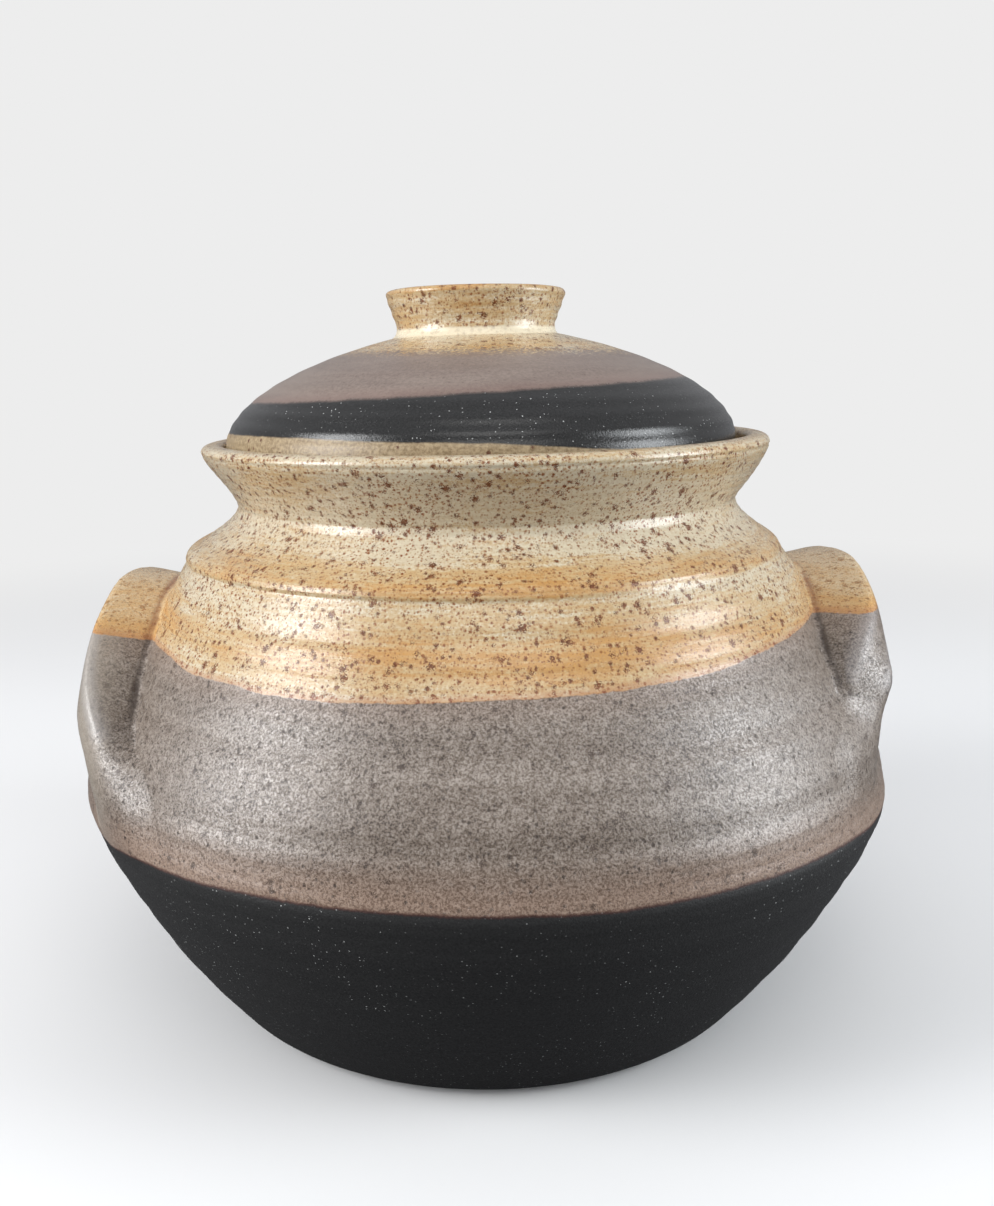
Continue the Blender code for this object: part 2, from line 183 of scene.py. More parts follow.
# The net that makes a handle's skin
NET_STEP = 1.2 * MM
NET_START = 66 * MM
NET_WIDENING = 1.15
NET_UNDER_ROOT = 2.2 * HANDLE_TAIL
NET_HEADROOM = 9 * MM
NET_MARGIN = 5 * MM
NET_INSIDE = 3 * NET_STEP
SETTLE_ROUNDS = 3
SKIN_LIFT = 0.03 * MM
SKIN_TUCK = 0.06 * MM
# Reach and spread of the ridge and hollow measures, which the handle glaze turns into painted highlight
# and painted shade
RIDGE_RADIUS = 4 * MM
RIDGE_SPREAD = 8
HOLLOW_REACHES = (3 * MM, 7 * MM)
RELAX_ROUNDS = 60
RELAX_AT_CROWN = 0.1
RELAX_FADE = (-8 * MM, 5 * MM)

# Lid and knob
LID_EDGE_HEIGHT = 5.7 * MM
LID_DOME_CURVE = 1.45
LID_HOLLOW_CURVE = 1.7
LID_THICKNESS = 6 * MM
LID_SEAT_WIDTH = 8 * MM
LID_EDGE_ROUNDING = 1.4 * MM
LID_RING_PITCH = 3.825 * MM
LID_RING_DEPTH = 0.12 * MM
LID_SWAY = 0.25 * MM
LID_STEPS = 240
LID_SHIFT = 1.1 * MM
KNOB_BASE_RADIUS = 24.3 * MM
KNOB_RING_WIDTH = 5 * MM
KNOB_DISH_DEPTH = 7 * MM
KNOB_DISH_CORNER = 4 * MM
KNOB_ROUNDING = 1.6 * MM
KNOB_BEAD = 2.4 * MM
KNOB_TOP_PULL = (-0.8 * MM, -5 * MM)
KNOB_FOOT_PULL = (-0.2 * MM, 4 * MM)
KNOB_SUNK = 0.15 * MM
KNOB_STEPS = 160
KNOB_SHIFT = 2 * MM
KNOB_WOBBLE = 0.35 * MM
KNOB_RIPPLE = 0.15 * MM
KNOB_RING_PITCH = 3.4 * MM
KNOB_RING_DEPTH = 0.12 * MM
KNOB_MARKS_START = (2 * MM, 5 * MM)
KNOB_SAG = 0.3 * MM
KNOB_SAG_REACH = 3 * MM


def smooth(low, high, value):
    """0 below low, 1 above high, and an S-curve between."""
    t = np.clip((value - low) / (high - low), 0, 1)
    return t * t * (3 - 2 * t)


def bump(centre, width, value):
    return np.exp(-(((value - centre) / width) ** 2))


def raised(mark, z):
    """A single band: how far it stands out at a height."""
    height, width, depth = mark
    return depth * bump(height, width, z)


def bezier(steps, *points):
    """Points along a Bezier curve, both ends included."""
    t = np.linspace(0, 1, steps + 1)[:, None]
    row = [np.array(p, float) for p in points]
    while len(row) > 1:
        row = [p + (q - p) * t for p, q in zip(row, row[1:])]
    return row[0]


def rounded(corner, before, after, steps):
    """An outline's corner, rounded off. before and after lead from it to the ends of the curve."""
    corner = np.array(corner)
    return bezier(steps, corner + before, corner, corner + after)


# The pot's outer wall as a function of height and azimuth


def wall_radius(z):
    """The thrown wall from the heel to the shoulder ridge, without the hand's marks."""
    below = 1 - np.clip(1 - z / BELLY_HEIGHT, 0, 1) ** BELLY_CURVE
    u = np.clip((z - BELLY_HEIGHT) / (SHOULDER_HEIGHT - BELLY_HEIGHT), 0, None)
    drawn_in = u * u * (3 - SHOULDER_STEEPNESS - (2 - SHOULDER_STEEPNESS) * u)
    low = WALL_BASE_RADIUS + (BELLY_RADIUS - WALL_BASE_RADIUS) * below
    high = BELLY_RADIUS - (BELLY_RADIUS - SHOULDER_RADIUS) * drawn_in
    return np.where(z < BELLY_HEIGHT, low, high)


def hand_marks(z, azimuth):
    """How far the finger ridges stand out of the thrown wall."""
    drift = 0.9 * np.sin(TURN * z / (4.3 * RING_PITCH)) + 0.35 * np.sin(2 * azimuth + 1.1)
    rings = RING_DEPTH * np.sin(TURN * z / RING_PITCH + azimuth + drift)
    fine = FINE_RING_DEPTH * np.sin(TURN * z / FINE_RING_PITCH + azimuth + 2 * drift)
    marks = rings * (0.75 + 0.25 * np.sin(azimuth + 0.6)) + fine
    for height, width, depth, fading in GROOVES:
        depth = depth * (1 - fading * np.sin(azimuth) ** 2)
        marks = marks - depth * bump(height + GROOVE_SWAY * np.sin(azimuth), width, z)
    whole = smooth(HEEL_HEIGHT, 4 * HEEL_HEIGHT, z) * (1 - smooth(*RINGS_FADE, z))
    swell = SWELL * np.sin(3 * azimuth + z / SWELL_LENGTH + 2.4) * smooth(0, BELLY_HEIGHT, z)
    at_right = np.exp(-2 * (1 - np.cos(azimuth)) / THUMB_ANGLE**2)
    at_left = np.exp(-2 * (1 + np.cos(azimuth)) / LEFT_SMEAR_ANGLE**2)
    smeared = (raised(SMEAR, z) - raised(THUMB, z)) * at_right + raised(LEFT_SMEAR, z) * at_left
    return marks * whole + swell * (1 - smooth(*SWELL_FADE, z)) + smeared - raised(DRAWN_IN, z)


def shoulder_ridge(z, azimuth):
    """The ledge at the shoulder, with a faint hollow under it and a seam above it."""
    strength = 0.3 + 0.7 * smooth(-0.2, 0.9, np.cos(azimuth - LEDGE_STRONGEST))
    up = z - SHOULDER_HEIGHT - LEDGE_SWAY * np.sin(2 * azimuth)
    ledge = LEDGE_DEPTH * smooth(*LEDGE_RISE, up) * (1 - smooth(*LEDGE_FADE, up))
    return strength * (ledge - raised(LEDGE_HOLLOW, up)) - raised(LEDGE_SEAM, up)


def out_of_round(z, azimuth):
    """How the neck leans out at the right, with the shoulder below it drawn in."""
    shoulder = raised(SHOULDER_FLAT, z) * smooth(0, 1, np.cos(azimuth))
    return raised(NECK_LEAN, z) * np.cos(azimuth) - shoulder


def wall_marks(z, azimuth):
    """The marks on the wall up to the neck, which the handles' skins follow too."""
    return hand_marks(z, azimuth) + shoulder_ridge(z, azimuth) + out_of_round(z, azimuth)


def outer_marks(z, azimuth):
    """Every mark on the outside, from the heel to the lip."""
    neck = NECK_RING_DEPTH * np.sin(TURN * z / NECK_RING_PITCH + 2 * np.sin(azimuth))
    neck = neck * smooth(*NECK_RINGS_START, z) * (1 - smooth(*NECK_RINGS_FADE, z))
    line = raised(RIM_LINE, z) * (0.5 + 0.5 * smooth(-0.3, 0.6, np.cos(azimuth + RIM_LINE_ANGLE)))
    return wall_marks(z, azimuth) + neck - line


def lean(points):
    """Moves points, in place, to where the leaning pot has them."""
    points[:, 0] += LEAN_AT_FLOOR + LEAN_PER_HEIGHT * points[:, 2]
    return points


# Turned pieces


def pot_profile():
    """Radius and height from the middle of the foot, up the outside and down the inside.

    The third value of a row says how far the outer marks count there.
    """
    recess, bevel = FOOT_RECESS_RADIUS, FOOT_RECESS_BEVEL
    foot = [
        (0, FOOT_RECESS_DEPTH),
        (0.5 * recess, FOOT_RECESS_DEPTH),
        (recess - 2 * bevel, FOOT_RECESS_DEPTH),
        (recess - bevel, 0.9 * FOOT_RECESS_DEPTH),
        (recess - 0.2 * bevel, 0.1 * FOOT_RECESS_DEPTH),
        (recess + bevel, 0),
        (0.5 * (recess + FOOT_RADIUS), 0),
    ]
    heel_top = (float(wall_radius(HEEL_HEIGHT)), HEEL_HEIGHT)
    heel = bezier(8, (FOOT_RADIUS, 0), (WALL_BASE_RADIUS, 0), heel_top)
    coarse = np.linspace(HEEL_HEIGHT, FINE_ROWS[0], 150)[1:]
    wall_z = np.concatenate([coarse, np.linspace(*FINE_ROWS, 20)[1:]])
    wall = np.stack([wall_radius(wall_z), wall_z], 1)
    rise = NECK_HEIGHT - SHOULDER_HEIGHT
    start = wall[-1]
    shoulder = bezier(
        34,
        start,
        start + SHOULDER_PULL,
        (NECK_RADIUS + 0.42 * rise, NECK_HEIGHT - 0.6 * rise),
        (NECK_RADIUS, NECK_HEIGHT - 0.25 * rise),
        (NECK_RADIUS, NECK_HEIGHT),
    )
    flare_top = RIM_HEIGHT - LIP_DROP
    flare_rise = flare_top - NECK_HEIGHT
    flare = bezier(
        34,
        (NECK_RADIUS, NECK_HEIGHT),
        (NECK_RADIUS, NECK_HEIGHT + 0.15 * flare_rise),
        (RIM_RADIUS - 0.08 * (RIM_RADIUS - NECK_RADIUS), flare_top - 0.25 * flare_rise),
        (RIM_RADIUS, flare_top),
    )
    inner = RIM_RADIUS - LIP_WIDTH
    lip_out = rounded((RIM_RADIUS, RIM_HEIGHT), (0, -LIP_DROP), (-LIP_SLOPE, 0), 10)
    lip_in = rounded((inner, RIM_HEIGHT), (LIP_ROUNDING, 0), (0, -LIP_ROUNDING), 6)
    gallery = RIM_HEIGHT - GALLERY_DEPTH
    throat = NECK_RADIUS - WALL_THICKNESS
    corner = rounded((inner, gallery), (0, GALLERY_FILLET), (-GALLERY_FILLET, 0), 4)
    edge = rounded((throat, gallery), (GALLERY_FILLET, 0), (0, -GALLERY_FILLET), 4)
    under = SHOULDER_HEIGHT - WALL_THICKNESS
    low = under - WALL_THICKNESS
    inside_shoulder = bezier(
        12,
        (throat, NECK_HEIGHT),
        (throat, under + 0.5 * (NECK_HEIGHT - under)),
        (float(wall_radius(under)) - 1.2 * WALL_THICKNESS, under),
        (float(wall_radius(low)) - WALL_THICKNESS, low),
    )
    corner_top = FLOOR_THICKNESS + FLOOR_CORNER_RADIUS
    inside_z = np.linspace(low, corner_top, 34)[1:]
    inside = np.stack([wall_radius(inside_z) - WALL_THICKNESS, inside_z], 1)
    corner_radius = inside[-1][0]
    floor_corner = bezier(
        8,
        inside[-1],
        (corner_radius - 0.35 * FLOOR_CORNER_RADIUS, FLOOR_THICKNESS),
        (corner_radius - FLOOR_CORNER_RADIUS, FLOOR_THICKNESS),
    )
    floor = [(s * floor_corner[-1][0], FLOOR_THICKNESS) for s in (0.75, 0.5, 0.25, 0)]
    outside = np.concatenate([heel[:-1], [heel_top], wall, shoulder[1:], flare[1:]])
    rest = (lip_out[1:], lip_in, corner, edge, inside_shoulder, inside, floor_corner[1:], floor)
    profile = np.concatenate([foot, outside, *rest])
    counts = np.zeros(len(profile))
    counts[len(foot) : len(foot) + len(outside)] = 1
    return profile, counts


def add_object(name, data):
    piece = bpy.data.objects.new(name, data)
    bpy.context.scene.collection.objects.link(piece)
    return piece


def turned(name, profile, share, steps, marks):
    """A surface of revolution. marks(z, azimuth) pushes the rows out, by their share."""
    azimuth = np.arange(steps) / steps * TURN
    radius = np.repeat(profile[:, :1], steps, 1)
    height = np.repeat(profile[:, 1:], steps, 1)
    radius = radius + marks(height, azimuth[None, :]) * share[:, None]
    radius = np.where(profile[:, :1] == 0, 0, radius)
    points = np.stack([radius * np.cos(azimuth), radius * np.sin(azimuth), height], 2)
    rows = len(profile)
    number = np.arange(rows * steps).reshape(rows, steps)
    number[0] = number[0, 0]
    number[-1] = number[-1, 0]
    after = np.roll(number, -1, 1)
    faces = []
    for low in range(rows - 1):
        corners = np.stack([number[low], after[low], after[low + 1], number[low + 1]], 1)
        faces += [list(dict.fromkeys(face)) for face in corners.tolist()]
    mesh = bpy.data.meshes.new(name)
    mesh.from_pydata(lean(points.reshape(-1, 3)).tolist(), [], faces)
    shape = bmesh.new()
    shape.from_mesh(mesh)
    bmesh.ops.delete(shape, geom=[v for v in shape.verts if not v.link_faces], context="VERTS")
    shape.to_mesh(mesh)
    shape.free()
    mesh.shade_smooth()
    return add_object(name, mesh)


def make_pot():
    return turned("thrown_pot", *pot_profile(), POT_STEPS, outer_marks)


def dome_height(radius, edge, rise, curve=LID_DOME_CURVE):
    return rise * np.sqrt(np.clip(1 - (radius / edge) ** curve, 0, None))


def lid_profile():
    """From the top of the dome, out over its edge and up the hollow inside."""
    rise = LID_TOP - LID_BASE - LID_EDGE_HEIGHT
    across = np.sin(np.linspace(0, 0.5 * math.pi, 90))
    top = np.stack([LID_RADIUS * across, dome_height(LID_RADIUS * across, LID_RADIUS, rise)], 1)
    top[:, 1] += LID_BASE + LID_EDGE_HEIGHT
    rounding = LID_EDGE_ROUNDING
    corner = rounded((LID_RADIUS, LID_BASE), (0, rounding), (-rounding, 0), 6)
    hollow_edge = LID_RADIUS - LID_SEAT_WIDTH
    hollow_rise = LID_TOP - LID_BASE - LID_THICKNESS
    within = hollow_edge * np.sin(np.linspace(0.5 * math.pi, 0, 40))
    under = dome_height(within, hollow_edge, hollow_rise, LID_HOLLOW_CURVE)
    hollow = np.stack([within, LID_BASE + under], 1)
    edge = [(LID_RADIUS, LID_BASE + 0.5 * LID_EDGE_HEIGHT)]
    profile = np.concatenate([top, edge, corner, hollow])
    share = np.zeros(len(profile))
    share[: len(top)] = 1
    return profile, share


def lid_marks(z, azimuth):
    rings = LID_RING_DEPTH * np.sin(TURN * z / LID_RING_PITCH + azimuth)
    sway = LID_SWAY * np.sin(2 * azimuth + 0.7)
    return (rings + sway) * smooth(LID_BASE + LID_EDGE_HEIGHT, LID_BASE + 2 * LID_EDGE_HEIGHT, z)


def make_lid():
    """The lid, a little off the middle of its seat."""
    piece = turned("domed_lid", *lid_profile(), LID_STEPS, lid_marks)
    for vertex in piece.data.vertices:
        vertex.co.x -= LID_SHIFT
    return piece


def knob_profile():
    """From the middle of the dish, over the flared ring and down to the bead on the lid."""
    rise = LID_TOP - LID_BASE - LID_EDGE_HEIGHT
    inner = KNOB_TOP_RADIUS - KNOB_RING_WIDTH
    dish = KNOB_TOP - KNOB_DISH_DEPTH
    corner = inner - KNOB_DISH_CORNER
    hollow = bezier(
        12,
        (corner - KNOB_DISH_CORNER, dish),
        (corner, dish),
        (inner - 0.5 * KNOB_DISH_CORNER, dish + 0.7 * KNOB_DISH_CORNER),
        (inner, KNOB_TOP - KNOB_ROUNDING),
    )
    over_in = rounded((inner, KNOB_TOP), (0, -KNOB_ROUNDING), (KNOB_ROUNDING, 0), 8)
    outer = KNOB_TOP_RADIUS
    over_out = rounded((outer, KNOB_TOP), (-KNOB_ROUNDING, 0), (0, -KNOB_ROUNDING), 8)
    foot = KNOB_BASE_RADIUS
    side = bezier(
        20,
        (outer, KNOB_TOP - KNOB_ROUNDING),
        np.add((outer, KNOB_TOP), KNOB_TOP_PULL),
        np.add((foot, KNOB_BASE), KNOB_FOOT_PULL),
        (foot, KNOB_BASE + KNOB_BEAD),
    )
    on_lid = foot + 1.5 * KNOB_BEAD
    lid_z = LID_BASE + LID_EDGE_HEIGHT + float(dome_height(on_lid, LID_RADIUS, rise))
    bead = bezier(8, (foot, KNOB_BASE + KNOB_BEAD), (foot, lid_z), (on_lid, lid_z - KNOB_SUNK))
    middle = [(0, dish), (0.4 * hollow[0][0], dish)]
    return np.concatenate([middle, hollow, over_in[1:], over_out, side[1:], bead[1:]])


def knob_marks(z, azimuth):
    wobble = KNOB_WOBBLE * np.sin(2 * azimuth + 1.0) + KNOB_RIPPLE * np.sin(5 * azimuth)
    rings = KNOB_RING_DEPTH * np.sin(TURN * z / KNOB_RING_PITCH + azimuth)
    return (wobble + rings) * smooth(*KNOB_MARKS_START, z - KNOB_BASE)


def make_knob():
    """The ring knob, left of the axis, its top sagging a little on one side."""
    profile = knob_profile()
    piece = turned("ring_knob", profile, np.ones(len(profile)), KNOB_STEPS, knob_marks)
    for vertex in piece.data.vertices:
        angle = math.atan2(vertex.co.y, vertex.co.x)
        near_top = float(smooth(KNOB_TOP - KNOB_SAG_REACH, KNOB_TOP, vertex.co.z))
        vertex.co.z -= KNOB_SAG * (1 + math.sin(angle + 0.4)) * near_top
        vertex.co.x -= KNOB_SHIFT
    return piece


# Handles: the strap and the wall as one field, so that the roots flow into the belly


def strap_station(strap, index):
    """Azimuth, height and in-wall normal of the strap's upper face, and how level it is."""
    if index == len(ARCH_ANGLES):
        return strap["tail_angle"], strap["root"] - HANDLE_TAIL, (1.0, 0.0), 0.0
    angle = ARCH_ANGLES[index]
    rise = strap["crown"] - strap["root"]
    across = math.sin(angle) / (HANDLE_HALF_ANGLE * BELLY_RADIUS)
    up = math.cos(angle) / rise
    length = math.hypot(across, up)
    height = strap["root"] + rise * math.cos(angle)
    azimuth = HANDLE_HALF_ANGLE * math.sin(angle) + strap["splay"][index]
    return azimuth, height, (across / length, up / length), math.cos(angle)


def strap_section(strap, index, side):
    """Corners of the strap's cage at one station."""
    azimuth, height, normal, level = strap_station(strap, index)
    wall = float(wall_radius(height))
    depth = HANDLE_THICKNESS * THICKNESS_SHARES[index]
    ridge = strap["reach"] * strap["ridge_shares"][index]
    outer = strap["reach"] * strap["side_shares"][index]
    corners = [(-HANDLE_EMBED, 0.0)]
    corners += [(out * (ridge + (outer - ridge) * mix), down) for out, down, mix in SECTION_SHARES]
    corners += [(-HANDLE_EMBED, 1.0)]
    points = []
    for out, down in corners:
        out = out * (1 + strap["slope"] * level * (down - 0.6))
        around = side * (azimuth - normal[0] * depth * down / wall)
        lift = HANDLE_LIFT * level * max(out, 0) / strap["reach"]
        z = height - normal[1] * depth * down + lift
        points.append(((wall + out) * math.cos(around), (wall + out) * math.sin(around), z))
    return points


def strap_tree(strap, end):
    """Search tree of the smooth strap, for distances to it. end is 1 at +X and -1 at -X."""
    last = len(ARCH_ANGLES)
    stations = [(i, -1) for i in range(last, 0, -1)] + [(i, 1) for i in range(last + 1)]
    shape = bmesh.new()
    rings = []
    for index, side in stations:
        corners = strap_section(strap, index, side)
        rings.append([shape.verts.new((end * x, end * y, z)) for x, y, z in corners])
    for low, high in zip(rings, rings[1:]):
        for i in range(len(low)):
            j = (i + 1) % len(low)
            shape.faces.new((low[i], low[j], high[j], high[i]))
    shape.faces.new(rings[0])
    shape.faces.new(rings[-1][::-1])
    bmesh.ops.recalc_face_normals(shape, faces=shape.faces)
    mesh = bpy.data.meshes.new("strap")
    shape.to_mesh(mesh)
    shape.free()
    cage = add_object("strap", mesh)
    rounding = cage.modifiers.new("Rounding", "SUBSURF")
    rounding.levels = 4
    tree = BVHTree.FromObject(cage, bpy.context.evaluated_depsgraph_get())
    bpy.data.objects.remove(cage)
    bpy.data.meshes.remove(mesh)
    return tree


def strap_distance(tree, points):
    found = np.empty(len(points))
    for i, point in enumerate(points.tolist()):
        place, normal, _, distance = tree.find_nearest(point)
        away = Vector(point) - place
        found[i] = distance if away.dot(normal) > 0 else -distance
    return found


def wall_distance(points):
    """Distance from the marked outer wall, outside positive."""
    x, y, z = points.T
    azimuth = np.arctan2(y, x)
    small = 0.5 * MM
    slope = (wall_radius(z + small) - wall_radius(z - small)) / (2 * small)
    radius = wall_radius(z) + wall_marks(z, azimuth)
    return (np.hypot(x, y) - radius) / np.sqrt(1 + slope * slope)


def joined(tree, strap, points):
    """The strap and the wall, run together as if by a thumb: more at the roots than at the crown."""
    wall = wall_distance(points)
    near = strap_distance(tree, points)
    x, y, z = (points / RIPPLE_LENGTHS).T
    near = near + STRAP_RIPPLE * np.sin(x + 1.3) * np.sin(y) * np.sin(z)
    low = 1 - smooth(strap["crease_end"] - CREASE_FADE, strap["crease_end"], points[:, 2])
    width = CREASE_BLEND + (ROOT_BLEND - CREASE_BLEND) * low
    mix = np.clip(0.5 + 0.5 * (near - wall) / width, 0, 1)
    return near * (1 - mix) + wall * mix - width * mix * (1 - mix)


def gradient(tree, strap, points):
    small = 0.15 * MM
    parts = []
    for axis in range(3):
        step = np.zeros(3)
        step[axis] = small
        parts.append(joined(tree, strap, points + step) - joined(tree, strap, points - step))
    slope = np.stack(parts, 1) / (2 * small)
    return slope, np.linalg.norm(slope, axis=1, keepdims=True)


def surface_net(field, low, step):
    """Vertices and quads of a sampled field's zero surface."""
    cells = np.array(field.shape) - 1
    total = np.zeros((cells.prod(), 3))
    count = np.zeros(cells.prod())
    quads = []
    for axis in range(3):
        order = [axis, (axis + 1) % 3, (axis + 2) % 3]
        turned_field = field.transpose(order)
        before, after = turned_field[:-1], turned_field[1:]
        crossing = (before < 0) != (after < 0)
        i, j, k = np.nonzero(crossing[:, 1:-1, 1:-1])
        j, k = j + 1, k + 1
        share = before[i, j, k] / (before[i, j, k] - after[i, j, k])
        point = np.zeros((len(i), 3))
        point[:, order] = np.stack([i + share, j, k], 1)
        ring = []
        for dj, dk in ((0, 0), (-1, 0), (-1, -1), (0, -1)):
            place = np.zeros((3, len(i)), int)
            place[order] = i, j + dj, k + dk
            cell = np.ravel_multi_index(tuple(place), cells)
            np.add.at(total, cell, point)
            np.add.at(count, cell, 1)
            ring.append(cell)
        quad = np.stack(ring, 1)
        outward = before[i, j, k] < 0
        quads.append(np.where(outward[:, None], quad, quad[:, ::-1]))
    quads = np.concatenate(quads)
    used, quads = np.unique(quads, return_inverse=True)
    points = low + step * total[used] / count[used, None]
    return points, quads.reshape(-1, 4)


def net_edges(quads):
    """The two ends of every edge."""
    pairs = np.concatenate([quads[:, [i, (i + 1) % 4]] for i in range(4)])
    return np.unique(np.sort(pairs, 1), axis=0).T


def neighbours_mean(values, low, high):
    total = np.zeros_like(values)
    np.add.at(total, low, values[high])
    np.add.at(total, high, values[low])
    count = np.bincount(np.concatenate([low, high]), minlength=len(values))
    return (total.T / count).T


def net_normals(points, quads):
    first, second, third, fourth = (points[quads[:, i]] for i in range(4))
    face = np.cross(third - first, fourth - second)
    total = np.zeros_like(points)
    for corner in range(4):
        np.add.at(total, quads[:, corner], face)
    return total / np.linalg.norm(total, axis=1, keepdims=True)


def ridges(points, low, high, normals):
    """How ridged the surface is at each vertex, 0 to 1, spread over a few millimetres."""
    across = points[high] - points[low]
    bend = ((normals[high] - normals[low]) * across).sum(1) / np.maximum((across**2).sum(1), 1e-9)
    count = np.bincount(np.concatenate([low, high]), minlength=len(points))
    ridge = (np.bincount(low, bend, len(points)) + np.bincount(high, bend, len(points))) / count
    for _ in range(RIDGE_SPREAD):
        ridge = 0.5 * (ridge + neighbours_mean(ridge, low, high))
    return np.clip(ridge * RIDGE_RADIUS, 0, 1)


def hollows(tree, strap, points, normals):
    """How far clay stands in front of the surface at each vertex, 0 to 1."""
    shut = [1 - joined(tree, strap, points + normals * reach) / reach for reach in HOLLOW_REACHES]
    return np.clip(np.mean(shut, axis=0), 0, 1)


def handle_net(tree, strap, end):
    """A net of the joined surface, kept where it stands out of the plain wall."""
    reach_y = NET_WIDENING * BELLY_RADIUS * math.sin(strap["tail_angle"])
    low = np.array([NET_START, -reach_y, strap["root"] - NET_UNDER_ROOT])
    high = np.array([BELLY_RADIUS, reach_y, strap["crown"] + NET_HEADROOM])
    sides = [np.arange(a, b, NET_STEP) for a, b in zip(low, high)]
    grid = np.stack(np.meshgrid(*sides, indexing="ij"), -1).reshape(-1, 3)
    grid[:, 0] *= end
    field = np.full(len(grid), 1.0)
    wall = wall_distance(grid)
    inside = wall <= -NET_INSIDE
    near = ~inside & (wall < strap["reach"] + NET_MARGIN)
    field[inside] = -1.0
    field[near] = joined(tree, strap, grid[near])
    points, quads = surface_net(field.reshape([len(s) for s in sides]), low, NET_STEP)
    points[:, 0] *= end
    if end < 0:
        quads = quads[:, ::-1]
    lifted = wall_distance(points) > SKIN_LIFT
    quads = quads[lifted[quads].any(1)]
    used, quads = np.unique(quads, return_inverse=True)
    return points[used], quads.reshape(-1, 4)


def make_handle(name, strap, end):
    """A handle's skin: settled on the joined surface, relaxed at the roots, tucked in at its edge."""
    tree = strap_tree(strap, end)
    points, quads = handle_net(tree, strap, end)
    for _ in range(SETTLE_ROUNDS):
        slope, length = gradient(tree, strap, points)
        value = joined(tree, strap, points)[:, None]
        points = points - np.clip(value, -MM, MM) * slope / np.maximum(length, 0.2) ** 2
    low, high = net_edges(quads)
    near_root = 1 - smooth(*RELAX_FADE, points[:, 2] - strap["crease_end"])
    share = RELAX_AT_CROWN + (1 - RELAX_AT_CROWN) * near_root
    share = (share * smooth(SKIN_LIFT, 1 * MM, wall_distance(points)))[:, None]
    for _ in range(RELAX_ROUNDS):
        points = points + 0.5 * share * (neighbours_mean(points, low, high) - points)
    slope, length = gradient(tree, strap, points)
    normals = slope / length
    normals = normals + np.clip(4 * share, 0, 1) * (net_normals(points, quads) - normals)
    normals = normals / np.linalg.norm(normals, axis=1, keepdims=True)
    height = wall_distance(points)
    # fold is above 0 in hollows and below 0 on ridges: the handle glaze paints shade (partly pooled
    # glaze) from the one and a highlight (partly thin glaze) from the other
    fold = hollows(tree, strap, points, normals) - ridges(points, low, high, normals)
    fold = fold * smooth(SKIN_LIFT, 12 * SKIN_LIFT, height)
    edge = 1 - smooth(0, 2 * SKIN_LIFT, height)
    points = points - normals * (SKIN_TUCK * edge)[:, None]
    mesh = bpy.data.meshes.new(name)
    mesh.from_pydata(lean(points).tolist(), [], quads.tolist())
    mesh.shade_smooth()
    mesh.normals_split_custom_set_from_vertices(normals.tolist())
    mesh.attributes.new("fold", "FLOAT", "POINT").data.foreach_set("value", fold)
    return add_object(name, mesh)


# Materials


def srgb(red, green, blue):
    """A colour given as it looks on a screen, 0 to 255, as Blender's linear values."""
    values = [v / 255 for v in (red, green, blue)]
    return [v / 12.92 if v <= 0.04045 else ((v + 0.055) / 1.055) ** 2.4 for v in values] + [1]


def plug(tree, value, socket):
    """Gives a socket a value, or links it to another node's socket."""
    if isinstance(value, bpy.types.NodeSocket):
        tree.links.new(value, socket)
    else:
        socket.default_value = value


def add_node(tree, kind, inputs=None, **settings):
    node = tree.nodes.new(kind)
    for key, value in settings.items():
        setattr(node, key, value)
    for key, value in (inputs or {}).items():
        plug(tree, value, node.inputs[key])
    return node


